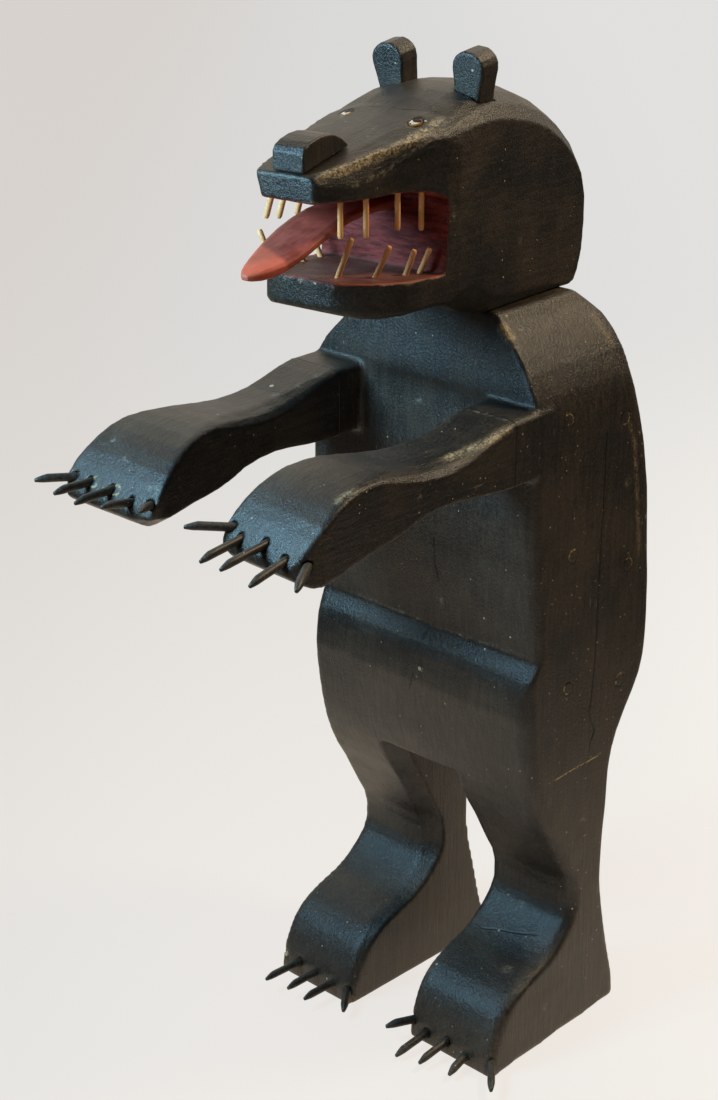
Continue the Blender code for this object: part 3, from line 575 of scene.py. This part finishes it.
body_black = black_paint("trunk_black", ALONG_Z)
arm_black = black_paint("arm_black", ALONG_Y)
head_black = black_paint("head_black", ALONG_Y, red=True)
ear_black = black_paint("ear_black", ALONG_Z, wear=0.4)
tooth_wood = dowel_wood("tooth_wood", TOOTH)
claw_wood = dowel_wood("claw_black", CLAW, specks=0.2)
stub_wood = dowel_wood("broken_stub", STUB)
tongue_red = tongue_paint()


# Finishing a piece

def dress(piece, material, slot, *nodes):
    """A finished piece takes its material, rides on the figure and stands for its CAD solids."""
    piece.data.materials.append(material)
    shade_smooth(piece)
    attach(piece, "root")
    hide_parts(*nodes)


# Trunk

SIDE_SEAM = ((97.5, 57.7, 684.1), (108.8, 54.0, 671.0), (122.6, 47.5, 650.9), (134.0, 41.1, 594.1),
             (134.0, 40.5, 520.0), (134.0, 39.0, 456.5), (134.0, 38.5, 376.3), (134.0, 35.8, 342.2),
             (134.0, 32.8, 329.6), (134.0, 41.5, 307.7), (134.0, 34.9, 295.7), (134.0, 34.5, 279.4))
HIP_SEAM = ((134.0, -15.0, 275.8), (134.0, 17.0, 277.7), (134.0, 51.7, 278.0))
PLUGS = ((133.8, -12.0, 619.0), (134.0, 0.6, 491.8), (134.0, 0.5, 363.8), (134.0, 66.7, 602.7),
         (134.0, 81.2, 460.6), (134.0, 76.9, 347.4))
BELLY_CRACK = ((4.6, -42.1, 398.1), (2.3, -47.1, 389.6), (-0.6, -51.9, 379.1), (-4.4, -54.8, 350.6),
               (-8.7, -53.4, 334.4))
ABDOMEN_CRACK = ((15.6, -51.5, 496.1), (16.4, -48.4, 462.2), (21.4, -46.0, 440.5), (27.4, -44.3, 424.1))
INSTEP_CREASE = ((52.0, -16.5, 88.9), (72.7, -11.3, 92.2), (93.5, -6.5, 95.6), (113.7, -1.3, 99.9))
TRUNK_SCUFFS = ((134.0, 30.9, 218.3), (79.2, 11.1, 112.8), (19.3, -44.9, 429.7), (-5.3, -50.3, 615.0),
                (134.0, 60.0, 132.0), (134.0, -20.0, 40.0), (110.0, -44.0, 86.0), (134.0, 75.0, 540.0))
TRUNK_CHIPS = ((89.2, -26.9, 692.6), (81.5, -44.0, 694.5), (134.0, 92.0, 560.0), (134.0, 104.0, 500.0),
               (134.0, 108.0, 470.0), (134.0, 88.0, 585.0), (134.0, 84.0, 612.0))
LEDGE_LINE = ((-101.4, -42.0, 403.4), (-68.7, -41.9, 402.8), (-32.8, -41.9, 402.3), (17.0, -41.7, 400.3),
              (65.5, -41.9, 402.6), (121.6, -42.2, 404.8))
LEDGE_FRONT = ((-114.2, -48.0, 388.1), (-63.3, -47.6, 388.8), (-0.3, -49.6, 385.5), (59.0, -47.7, 388.6),
               (116.8, -46.7, 390.2))
# Painted shade: a dark line laid along the chest crease
CHEST_CREASE_SHADE = ((-124.4, -50.4, 641.0), (-95.0, -50.4, 640.4), (-51.5, -50.3, 638.2), (-3.4, -50.1, 636.5),
              (49.0, -49.9, 634.2))
# Gold strips on the back edge and shoulders: worn specks together with painted highlight
BACK_WEAR_AND_HIGHLIGHT = ((134.0, 68.6, 605.0), (134.0, 80.6, 579.0), (134.0, 85.4, 554.4), (134.0, 88.8, 529.8),
             (134.0, 92.2, 505.0), (134.0, 95.3, 484.8), (134.0, 97.0, 460.0))
SHOULDER_GOLD_HIGHLIGHT = ((80.2, -42.6, 700.9), (86.5, -42.0, 695.1), (94.0, -42.0, 687.0))
SHOULDER_WEAR_AND_HIGHLIGHT = ((91.3, 65.0, 690.5), (96.3, 67.5, 685.5), (101.0, 67.4, 680.2), (107.9, 69.1, 672.2),
                 (116.0, 70.0, 661.0))


# Grooves: line, step and sway of its wandering, seed, width and depth, mask and its strength
TRUNK_GROOVES = ((SIDE_SEAM, 7, 0.7, 1.0, 0.8, 0.9, "crack_and_crease_shade", 1.0),
                 (HIP_SEAM, 5, 0.7, 2.0, 0.9, 0.5, "bare", 0.9),
                 (BELLY_CRACK, 4, 1.0, 3.0, 0.9, 1.0, "crack_and_crease_shade", 1.0),
                 (ABDOMEN_CRACK, 4, 1.8, 5.0, 1.1, 1.1, "crack_and_crease_shade", 1.0),
                 # The instep crease groove is darkened with painted shade
                 (INSTEP_CREASE, 5, 0.8, 6.0, 1.3, 0.6, "hollow", 0.9))

# Strips of rubbed wear, painted highlight and painted crease shade: line, width, mask, strength, seed
TRUNK_BANDS = ((LEDGE_LINE, 1.6, "scuff_and_highlight", 0.75, 1.0), (LEDGE_FRONT, 3.0, "scuff_and_highlight", 0.25, 2.0),
               (CHEST_CREASE_SHADE, 1.5, "crack_and_crease_shade", 0.55, 3.0), (BACK_WEAR_AND_HIGHLIGHT, 2.6, "gold", 0.45, 4.0),
               (SHOULDER_GOLD_HIGHLIGHT, 5.0, "gold", 1.3, 5.0), (SHOULDER_WEAR_AND_HIGHLIGHT, 3.5, "gold", 0.7, 6.0))
PLUG_RADIUS = 6.2
SEAM_WIDTH, SEAM_DEPTH = 1.4, 0.5


def cut_at_arm_seam(piece, keep_arms):
    """Parts the arms from the trunk on the plane where they are glued."""
    bm = bmesh.new()
    bm.from_mesh(piece.data)
    geometry = [f for f in bm.faces if f.calc_center_median().z > ARM_LEVEL]
    geometry += list({e for f in geometry for e in f.edges}) + list({v for f in geometry for v in f.verts})
    bmesh.ops.bisect_plane(bm, geom=geometry, dist=1e-7, plane_co=(0, ARM_SEAM, 0), plane_no=(0, 1, 0))
    gone = []
    for f in bm.faces:
        centre = f.calc_center_median()
        in_arm = centre.z > ARM_LEVEL and centre.y < ARM_SEAM
        if in_arm != keep_arms:
            gone.append(f)
    bmesh.ops.delete(bm, geom=gone, context="FACES")
    bmesh.ops.holes_fill(bm, edges=[e for e in bm.edges if e.is_boundary], sides=0)
    bmesh.ops.triangulate(bm, faces=[f for f in bm.faces if len(f.verts) > 4])
    bm.to_mesh(piece.data)
    bm.free()


def seam_groove(piece, width, depth):
    """A fine open joint round the cut."""
    refined(piece, lambda co: (np.abs(co[:, 1] - ARM_SEAM) < 3.5 * MM) & (co[:, 2] > ARM_LEVEL), 1)
    mesh = piece.data
    co, no = coordinates(mesh), normals(mesh)
    no[:, 1] = 0.0
    gap = np.abs(co[:, 1] - ARM_SEAM)
    near = np.clip(1.0 - gap / (width * MM), 0.0, 1.0) * (co[:, 2] > ARM_LEVEL)
    broken = 0.55 + 0.45 * noise_at(co, 0.012, 4.0)
    put_coordinates(mesh, co - no * (near * broken * depth * MM)[:, None])
    put_mask(mesh, "crack_and_crease_shade", np.maximum(get_mask(mesh, "crack_and_crease_shade"), near * 0.7))


def plug(piece, centre, radius, seed):
    """The end of a round peg, a little proud, with worn paint round part of its rim."""
    centre = Vector(settled(piece, [centre])[0]) * MM
    refined(piece, lambda co: np.linalg.norm(co - np.array(centre), axis=1) < (radius + 3.0) * MM)
    mesh = piece.data
    co, no = coordinates(mesh), normals(mesh)
    off = co - np.array(centre)
    r = np.linalg.norm(off[:, 1:], axis=1) / MM
    close = np.abs(off[:, 0]) < 6 * MM
    groove = np.clip(1.0 - np.abs(r - radius) / 0.9, 0.0, 1.0) * close
    proud = np.clip((radius - r) / 1.2, 0.0, 1.0) * close
    put_coordinates(mesh, co + no * ((proud * 0.25 - groove * 0.35) * MM)[:, None])
    angle = np.arctan2(off[:, 2], off[:, 1])
    part = np.clip(0.2 + np.cos(angle - seed) + 0.5 * np.cos(3 * angle + seed), 0.0, 1.0)
    put_mask(mesh, "bare", np.maximum(get_mask(mesh, "bare"),
                                      np.clip(1.0 - np.abs(r - radius + 0.6) / 0.9, 0, 1) * close * part))
    put_mask(mesh, "crack_and_crease_shade", np.maximum(get_mask(mesh, "crack_and_crease_shade"), groove * (1 - part) * 0.8))


# Painted highlights: gold strips along the top outer edges of the near arm and its paw
ARM_GOLD_HIGHLIGHT = ((134.0, -84.0, 630.0), (131.0, -92.0, 629.0), (131.0, -110.0, 625.0), (126.0, -128.0, 621.0),
            (122.0, -145.0, 618.0), (120.0, -160.0, 616.0))
ARM_TOP_SEAM = ((78.8, -83.2, 633.7), (95.0, -83.2, 633.6), (107.8, -83.1, 633.4), (126.0, -82.9, 632.9))
PAW_GOLD_HIGHLIGHT = ((128.3, -288.8, 615.3), (127.0, -279.8, 619.1), (128.3, -272.3, 621.5), (128.0, -262.0, 622.5))
ARM_SCUFFS = ((-124.6, -295.9, 609.6), (-99.7, -307.5, 601.7), (-53.9, -317.9, 591.3), (-47.0, -317.4, 592.1),
              (-83.8, -96.0, 631.2), (-86.3, -115.9, 625.9), (-93.9, -139.2, 620.3), (134.0, -200.0, 600.0))
CLAW_RIMS = ((-118.2, -325.4, 581.4), (-89.9, -325.3, 581.5))
CLAW_RIM_RADIUS = 4.4
# Painted gold highlights and a scuffed seam line: line, width, mask, strength, seed
ARM_BANDS = ((ARM_GOLD_HIGHLIGHT, 3.6, "gold", 1.1, 7.0), (ARM_TOP_SEAM, 1.2, "scuff_and_highlight", 0.9, 8.0),
             (PAW_GOLD_HIGHLIGHT, 3.2, "gold", 1.0, 9.0))


def rim(piece, place, radius):
    """Bare wood round the hole that a claw stands in."""
    mesh = piece.data
    co = coordinates(mesh)
    gap = np.linalg.norm(co - np.array(settled(piece, [place])[0]) * MM, axis=1) / MM
    ring = np.clip(1.0 - np.abs(gap - radius) / 1.1, 0, 1)
    put_mask(mesh, "bare", np.maximum(get_mask(mesh, "bare"), ring))


def make_trunk_and_arms():
    sources = ["body", "arm_left", "arm_right"]
    trunk = worked("trunk_carved", sources, TRUNK_GRAIN, TRUNK_RUBS)
    hand_worked(trunk, 0.055, 0.55, 1.0)
    wear_and_shade_masks(trunk, TRUNK_GRAIN)
    cut_at_arm_seam(trunk, False)
    seam_groove(trunk, SEAM_WIDTH, SEAM_DEPTH)
    for line, step, sway, seed, width, depth, mask, strength in TRUNK_GROOVES:
        score(trunk, wandering(settled(trunk, line), step, sway, seed), width, depth, mask, strength)
    for number, place in enumerate(PLUGS):
        plug(trunk, place, PLUG_RADIUS, number * 1.7 + 0.4)
    for line, width, mask, strength, seed in TRUNK_BANDS:
        band(trunk, line, width, mask, strength, seed)
    dab(trunk, TRUNK_SCUFFS, 5.0, "scuff_and_highlight", 0.7)
    dab(trunk, TRUNK_CHIPS, 1.6, "bare", 0.9)
    dress(trunk, body_black, "black_paint", "body")

    arms = worked("arms", sources, ARM_GRAIN, ARM_RUBS)
    hand_worked(arms, 0.045, 0.45, 3.0)
    wear_and_shade_masks(arms, ARM_GRAIN)
    cut_at_arm_seam(arms, True)
    seam_groove(arms, SEAM_WIDTH, SEAM_DEPTH)
    for line, width, mask, strength, seed in ARM_BANDS:
        band(arms, line, width, mask, strength, seed)
    dab(arms, ARM_SCUFFS, 4.0, "scuff_and_highlight", 0.8)
    for place in CLAW_RIMS:
        rim(arms, place, CLAW_RIM_RADIUS)
    for side, node in ((1, "arm_left"), (-1, "arm_right")):
        bm = bmesh.new()
        bm.from_mesh(arms.data)
        bmesh.ops.delete(bm, geom=[v for v in bm.verts if v.co.x * side < 0], context="VERTS")
        mesh = bpy.data.meshes.new(node + "_carved")
        bm.to_mesh(mesh)
        bm.free()
        dress(link(node + "_carved", mesh), arm_black, "black_paint", node)
    bpy.data.objects.remove(arms)


# Head

def in_head_frame(co):
    """Points turned back to the head's own frame, in millimetres: across, forward, height."""
    turn = np.array(Matrix.Rotation(-HEAD_TURN, 3, "Z"))
    local = (co - np.array(HEAD_PIVOT)) @ turn.T / MM
    local[:, 1] += HEAD_FORWARD
    return local


def head_frame_ways(vectors):
    return vectors @ np.array(Matrix.Rotation(-HEAD_TURN, 3, "Z")).T


def mouth_masks(head):
    mesh = head.data
    co, no = coordinates(mesh), normals(mesh)
    local, ways = in_head_frame(co), head_frame_ways(no)
    flat = np.stack([np.zeros(len(local)), local[:, 1], local[:, 2]], 1)
    outline = [(0.0, y, z) for y, z in MOUTH_OUTLINE]
    gap, _ = line_distance(flat, outline + outline[:1])
    sideways = np.abs(ways[:, 0])
    inside = np.clip((1.9 - gap) / 0.8, 0, 1) * np.clip((0.80 - sideways) / 0.2, 0, 1) * (local[:, 1] < -110)
    floor = np.clip((ways[:, 2] - 0.55) / 0.2, 0, 1)
    wall = np.clip((-ways[:, 1] - 0.55) / 0.2, 0, 1)
    put_mask(mesh, "mouth", inside)
    put_mask(mesh, "floor", floor)
    put_mask(mesh, "wall", wall)
    # Painted highlight with the rim's paint: bright red on the chamfer round the jaw's floor
    low = neighbour_mean(mesh, sideways * floor, 3)
    put_mask(mesh, "rim", floor * np.clip(low * 4 - 0.3, 0, 1))


# Painted highlights on the near face edge: a gold strip along the face plane's edge, and a pale strip below
# it along the cheek bevel
FACE_GOLD_HIGHLIGHT = ((58.8, -241.0, 848.0), (59.2, -231.7, 850.6), (62.9, -210.4, 852.6), (64.4, -189.9, 856.0),
             (67.6, -155.0, 863.1), (66.2, -118.8, 871.3), (62.3, -94.6, 878.7))
FACE_SILVER_HIGHLIGHT = ((65.6, -218.7, 840.3), (67.9, -203.4, 840.6), (67.7, -170.9, 845.1), (70.4, -145.2, 855.0),
               (72.0, -115.8, 868.5), (62.1, -73.9, 883.2))
BROW = ((-5.3, -115.4, 880.2), (30.9, -109.0, 880.7), (58.8, -94.3, 879.9))
# Painted shadow round the foot of each ear
NEAR_EAR_SEAT_SHADOW = ((24.0, -66.0, 892.5), (40.4, -69.3, 890.5), (54.9, -67.2, 887.1), (66.8, -58.5, 881.1),
                 (62.0, -36.9, 882.2))
FAR_EAR_SEAT_SHADOW = ((-31.7, -66.4, 889.8), (-7.1, -74.4, 891.2), (-1.4, -66.0, 892.5), (0.0, -50.0, 893.5))
CHEEK_SCUFFS = ((70.1, -7.3, 763.3), (69.0, 1.4, 742.6), (62.8, 51.8, 743.1), (81.4, -105.6, 800.9),
                (45.0, -133.4, 756.0), (73.1, -135.1, 756.3))
JAW_CHIPS = ((5.8, -221.0, 758.5), (21.0, -219.1, 758.5), (36.1, -217.2, 759.2), (10.9, -220.4, 761.0))


# Both face strips are painted highlights: line, width, mask, strength, seed
HEAD_BANDS = ((FACE_GOLD_HIGHLIGHT, 4.2, "gold", 1.35, 11.0), (FACE_SILVER_HIGHLIGHT, 2.4, "scuff_and_highlight", 1.0, 12.0))
# The tongue's bright tip begins this far in front of the ankles, on a line that runs aslant
TIP_START, TIP_SLANT, TIP_FROM_MIDDLE, TIP_SOFTNESS = 0.2577, 0.25, 0.03, 0.004


def make_head():
    head = worked("head_carved", ["head"], HEAD_GRAIN, HEAD_RUBS)
    hand_worked(head, 0.045, 0.4, 6.0)
    wear_and_shade_masks(head, HEAD_GRAIN)
    mouth_masks(head)
    # The brow groove is darkened with painted shade
    score(head, wandering(settled(head, BROW), 6, 0.6, 7.0), 1.2, 0.35, "hollow", 0.8)
    for line, width, mask, strength, seed in HEAD_BANDS:
        band(head, line, width, mask, strength, seed)
    dab(head, NEAR_EAR_SEAT_SHADOW, 3.0, "hollow", 0.9)
    dab(head, FAR_EAR_SEAT_SHADOW, 3.0, "hollow", 0.9)
    dab(head, CHEEK_SCUFFS, 3.0, "scuff_and_highlight", 0.7)
    dab(head, JAW_CHIPS, 1.4, "bare", 1.0)
    dress(head, head_black, "black_paint", "head")

    nose = worked("nose_carved", ["nose"], FINE_GRAIN, FINE_RUBS)
    wear_and_shade_masks(nose, FINE_GRAIN)
    dress(nose, ear_black, "black_paint", "nose")
    for node in ("ear_left", "ear_right"):
        ear = worked(node + "_carved", [node], FINE_GRAIN, FINE_RUBS)
        wear_and_shade_masks(ear, FINE_GRAIN)
        dress(ear, ear_black, "black_paint", node)

    tongue = worked("tongue_carved", ["tongue"], 1.0, 3)
    wear_and_shade_masks(tongue, 1.0)
    co = coordinates(tongue.data)
    past = DRAWN_BACK - TIP_START - co[:, 1] - TIP_SLANT * (co[:, 0] - TIP_FROM_MIDDLE)
    put_mask(tongue.data, "tip", np.clip(past / TIP_SOFTNESS, 0, 1))
    dress(tongue, tongue_red, "tongue_paint", "tongue")


# Dowels

PEG_SIDES = 20

# How a dowel's end is cut: length of the cut in metres, its end's share of the radius, its drop in radii
TOOTH_END, CLAW_END, STUB_END = (0.0022, 0.72, 0.0), (0.011, 0.44, 0.42), (0.002, 0.8, 0.0)

def axis_of(node):
    """The two ends of a CAD dowel's middle line, from socket to tip, and its radius."""
    co = coordinates(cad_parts[node].data)
    middle = co.mean(0)
    way = np.linalg.svd(co - middle)[2][0]
    along = (co - middle) @ way
    flat = np.linalg.norm(co - middle - along[:, None] * way, axis=1)
    ends = [co[np.abs(along - pick) < 2e-4] for pick in (along.min(), along.max())]
    spread = [np.linalg.norm(e - e.mean(0), axis=1).max() for e in ends]
    root, tip = (0, 1) if spread[0] >= spread[1] else (1, 0)
    return Vector(ends[root].mean(0)), Vector(ends[tip].mean(0)), float(spread[root])


def peg(node, tip_length, tip_scale, tip_drop, material, slot, seed):
    """A round peg on a CAD dowel's own line, a little uneven from the knife."""
    name = node + "_peg"
    root, tip, radius = axis_of(node)
    way = (tip - root).normalized()
    length = (tip - root).length
    turn = way.to_track_quat("Z", "Y").to_matrix()
    down = turn.inverted() @ Vector((0, 0, -1))
    down = Vector((down.x, down.y, 0)).normalized()
    chance = random.Random(seed)
    stages = [(0.0, 1.0)] + [(i / 8 * (length - tip_length), 1.0) for i in range(1, 9)]
    for i in range(1, 6):
        t = i / 5
        stages.append((length - tip_length + t * tip_length * 0.97, 1.0 + (tip_scale - 1.0) * t ** 1.4))
    stages.append((length, tip_scale * 0.55))
    bm = bmesh.new()
    rings = []
    for along, scale in stages:
        cut = max(0.0, (along - (length - tip_length)) / tip_length)
        ring = []
        for i in range(PEG_SIDES):
            angle = 2 * math.pi * i / PEG_SIDES
            uneven = 1.0 + 0.035 * math.sin(2 * angle + seed) + chance.uniform(-0.012, 0.012)
            p = Vector((math.cos(angle), math.sin(angle), 0)) * radius * scale * uneven
            p += down * radius * tip_drop * cut
            p.z = along
            ring.append(bm.verts.new(root + turn @ p))
        rings.append(ring)
    for a, b in zip(rings[:-1], rings[1:]):
        for i in range(PEG_SIDES):
            bm.faces.new((a[i], a[(i + 1) % PEG_SIDES], b[(i + 1) % PEG_SIDES], b[i]))
    bm.faces.new(list(reversed(rings[0])))
    bm.faces.new(rings[-1])
    mesh = bpy.data.meshes.new(name)
    bm.to_mesh(mesh)
    bm.free()
    dress(link(name, mesh), material, slot, node)


def make_teeth_and_claws():
    seed = 1
    for row in ("upper_left", "upper_right", "lower_left", "lower_right"):
        for number in range(1, 5):
            node = "tooth_%s_%d" % (row, number)
            peg(node, *TOOTH_END, tooth_wood, "bare_wood", seed)
            seed += 1
    for limb in ("left_paw", "right_paw", "left_foot", "right_foot"):
        for number in range(1, 6):
            node = "claw_%s_%d" % (limb, number)
            if node == "claw_right_foot_1":
                peg(node, *STUB_END, stub_wood, "bare_wood", seed)
            else:
                peg(node, *CLAW_END, claw_wood, "claw_paint", seed)
            seed += 1


# Eyes

# In millimetres from the middle of an eye, across and along the head
PUPIL_PLACE, PUPIL_RADIUS = (0.4, 1.7), 3.9
CORNER_PLACE, CORNER_RADIUS = (-1.2, -5.2), 1.0
RING_HALF_SIZE, RING_FROM, RING_SOFTNESS = (5.0, 7.25), 0.76, 0.07
EDGE_SOFTNESS = 0.4


def round_spot(local, place, radius):
    gap = np.hypot(local[:, 0] - place[0], local[:, 1] - place[1])
    return np.clip((radius - gap) / EDGE_SOFTNESS, 0, 1)

def eye_material():
    material, n, shader, place = new_material("eye_enamel")
    tone = n.noise(place, 500.0, 3.0, 0.6)
    white = n.blend(n.ramp(tone, 0.3, 0.7), *EYE_CREAM)
    shown = n.blend(n.mask("ring"), white, EYE_RING)
    shown = n.blend(n.mask("pupil"), shown, PUPIL_BLACK)
    shader.inputs["Specular IOR Level"].default_value = 0.04
    n.join(shown, shader.inputs["Base Color"])
    n.join(n.ramp(tone, 0.3, 0.7, 0.12, 0.3), shader.inputs["Roughness"])
    bumped(n, shader, tone, 0.0002, 0.3)
    return material


def make_eyes():
    enamel = eye_material()
    for node in ("eye_left", "eye_right"):
        eye = worked(node + "_inlay", [node], 0.3, 4)
        mesh = eye.data
        co = coordinates(mesh)
        low, high = (np.array(v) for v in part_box(node))
        middle = (low + high) / 2
        local = head_frame_ways(co - middle) / MM
        pupil = round_spot(local, PUPIL_PLACE, PUPIL_RADIUS)
        put_mask(mesh, "pupil", np.maximum(pupil, round_spot(local, CORNER_PLACE, CORNER_RADIUS)))
        out = np.hypot(local[:, 0] / RING_HALF_SIZE[0], local[:, 1] / RING_HALF_SIZE[1])
        put_mask(mesh, "ring", np.clip((out - RING_FROM) / RING_SOFTNESS, 0, 1))
        dress(eye, enamel, "eye_paint", node)


# Studio

# The floor glows instead of taking lamp light: painted light, brighter towards the camera and to the right,
# darker far off and to the left; a warm painted glow in a strip through the figure is seen only in
# reflections and bounced light
FLOOR_NEAR, FLOOR_FAR = (0.97, 0.915, 0.86), (0.83, 0.83, 0.825)
FLOOR_RIGHT, FLOOR_LEFT = (1.13, 1.09, 1.03), (0.80, 0.755, 0.72)
FLOOR_GLOW, FLOOR_BOUNCE = 0.82, 0.80
BOUNCE_COLOUR, MATT_GREY = (0.98, 0.81, 0.62), (0.09, 0.09, 0.09)
FLOOR_RADIUS, FLOOR_DROP = 9.0, 0.0003
ROOM_LIGHT, SEEN_BACKDROP = (0.075, 0.073, 0.068), (0.72, 0.72, 0.71)
BACKDROP_LIGHT, BACKDROP_TOP = (0.62, 0.55, 0.46), (1.60, 1.42, 1.18)

# Level directions, east and north: away from the camera over the floor, to its right, and to the backdrop
TO_BACK, TO_RIGHT, TO_BACKDROP = (-0.645, 0.667), (0.718, 0.696), (-0.696, 0.718)

# Soft boxes: name, place, what it looks at, power, colour
LAMP_SIZE = 0.50
LAMPS = (("cool box", (-0.38, -0.80, 1.12), (0.0, -0.04, 0.74), 18.5, (0.42, 0.76, 1.0)),
         ("warm box", (0.86, 1.10, 2.40), (0.0, 0.0, 0.6), 36.0, (1.0, 0.80, 0.54)))


def level_run(n, parts, way):
    """How far a point lies along a level direction."""
    east = n.sum("MULTIPLY", parts.outputs[0], way[0])
    return n.sum("ADD", east, n.sum("MULTIPLY", parts.outputs[1], way[1]))


def make_floor():
    """A pale floor that glows as painted light, warm round the figure and dark beside it in whatever reflects
    it.
    """
    material, n, shader, place = new_material("pale_floor")
    n.tree.nodes.remove(shader)
    leave = [x for x in n.tree.nodes if x.type == "OUTPUT_MATERIAL"][0]
    parts = n.add("ShaderNodeSeparateXYZ")
    n.join(place, parts.inputs[0])
    back, right = level_run(n, parts, TO_BACK), level_run(n, parts, TO_RIGHT)
    tone = n.blend(n.ramp(back, -0.6, 2.6), FLOOR_NEAR, FLOOR_FAR)
    far = n.ramp(back, 0.6, 2.4, 1.0, 0.25)
    tone = n.blend(n.sum("MULTIPLY", n.ramp(right, 0.0, 1.0, 0.0, 0.9), far), tone, FLOOR_RIGHT)
    tone = n.blend(n.ramp(right, -0.9, 0.0, 0.9, 0.0), tone, FLOOR_LEFT)
    glow = n.add("ShaderNodeEmission", Strength=FLOOR_GLOW)
    n.join(tone, glow.inputs[0])
    bounce = n.add("ShaderNodeEmission", Color=colour(BOUNCE_COLOUR))
    aside = n.ramp(n.sum("ABSOLUTE", n.sum("SUBTRACT", right, 0.05)), 0.42, 0.90, FLOOR_BOUNCE, 0.05)
    front = n.ramp(back, -0.75, -0.25)
    n.join(n.sum("MULTIPLY", aside, n.sum("MAXIMUM", front, 0.55)), bounce.inputs[1])
    path = n.add("ShaderNodeLightPath")
    seen = n.add("ShaderNodeMixShader")
    n.join(path.outputs["Is Camera Ray"], seen.inputs[0])
    n.join(bounce.outputs[0], seen.inputs[1])
    n.join(glow.outputs[0], seen.inputs[2])
    matt = n.add("ShaderNodeBsdfDiffuse", Color=colour(MATT_GREY))
    both = n.add("ShaderNodeAddShader")
    n.join(seen.outputs[0], both.inputs[0])
    n.join(matt.outputs[0], both.inputs[1])
    n.join(both.outputs[0], leave.inputs[0])
    bm = bmesh.new()
    bmesh.ops.create_circle(bm, cap_ends=True, segments=96, radius=FLOOR_RADIUS)
    mesh = bpy.data.meshes.new("floor")
    bm.to_mesh(mesh)
    bm.free()
    mesh.materials.append(material)
    floor = link("floor", mesh)
    floor.location.z = -FLOOR_DROP


def make_world():
    """A bright backdrop behind the figure and a dim room round the rest."""
    world = bpy.data.worlds.new("studio")
    bpy.context.scene.world = world
    world.use_nodes = True
    tree = world.node_tree
    tree.nodes.clear()
    n = Nodes(tree)
    way = n.add("ShaderNodeTexCoord").outputs["Generated"]
    parts = n.add("ShaderNodeSeparateXYZ")
    n.join(way, parts.inputs[0])
    behind = level_run(n, parts, TO_BACKDROP)
    sheet = n.sum("MULTIPLY", n.ramp(behind, 0.45, 0.80), n.ramp(parts.outputs[2], 0.65, 0.90, 1.0, 0.0))
    bright = n.blend(n.ramp(parts.outputs[2], 0.20, 0.60), BACKDROP_LIGHT, BACKDROP_TOP)
    light = n.blend(sheet, ROOM_LIGHT, bright)
    dome = n.add("ShaderNodeBackground", Strength=1.0)
    n.join(light, dome.inputs[0])
    seen = n.add("ShaderNodeBackground", Color=colour(SEEN_BACKDROP), Strength=1.0)
    path = n.add("ShaderNodeLightPath")
    mix = n.add("ShaderNodeMixShader")
    n.join(path.outputs["Is Camera Ray"], mix.inputs[0])
    n.join(dome.outputs[0], mix.inputs[1])
    n.join(seen.outputs[0], mix.inputs[2])
    leave = n.add("ShaderNodeOutputWorld")
    n.join(mix.outputs[0], leave.inputs[0])


def lamp(name, place, target, power, tint):
    """A soft round box that looks at a point of the figure."""
    data = bpy.data.lights.new(name, "AREA")
    data.shape = "DISK"
    data.size = LAMP_SIZE
    data.energy = power
    data.color = tint
    box = bpy.data.objects.new(name, data)
    box.location = place
    box.rotation_euler = (Vector(place) - Vector(target)).to_track_quat("Z", "Y").to_euler()
    bpy.context.scene.collection.objects.link(box)


def make_camera():
    data = bpy.data.cameras.new("camera")
    data.lens = LENS
    data.sensor_width = SENSOR
    data.clip_end = 60.0
    camera = bpy.data.objects.new("camera", data)
    camera.location = CAMERA_PLACE
    camera.rotation_euler = (math.pi / 2 - CAMERA_DROP, 0.0, CAMERA_TURN)
    bpy.context.scene.collection.objects.link(camera)
    bpy.context.scene.camera = camera


make_camera()
make_floor()
make_world()
for box in LAMPS:
    lamp(*box)

make_trunk_and_arms()
make_head()
make_teeth_and_claws()
make_eyes()

bpy.context.scene.view_settings.view_transform = "Standard"
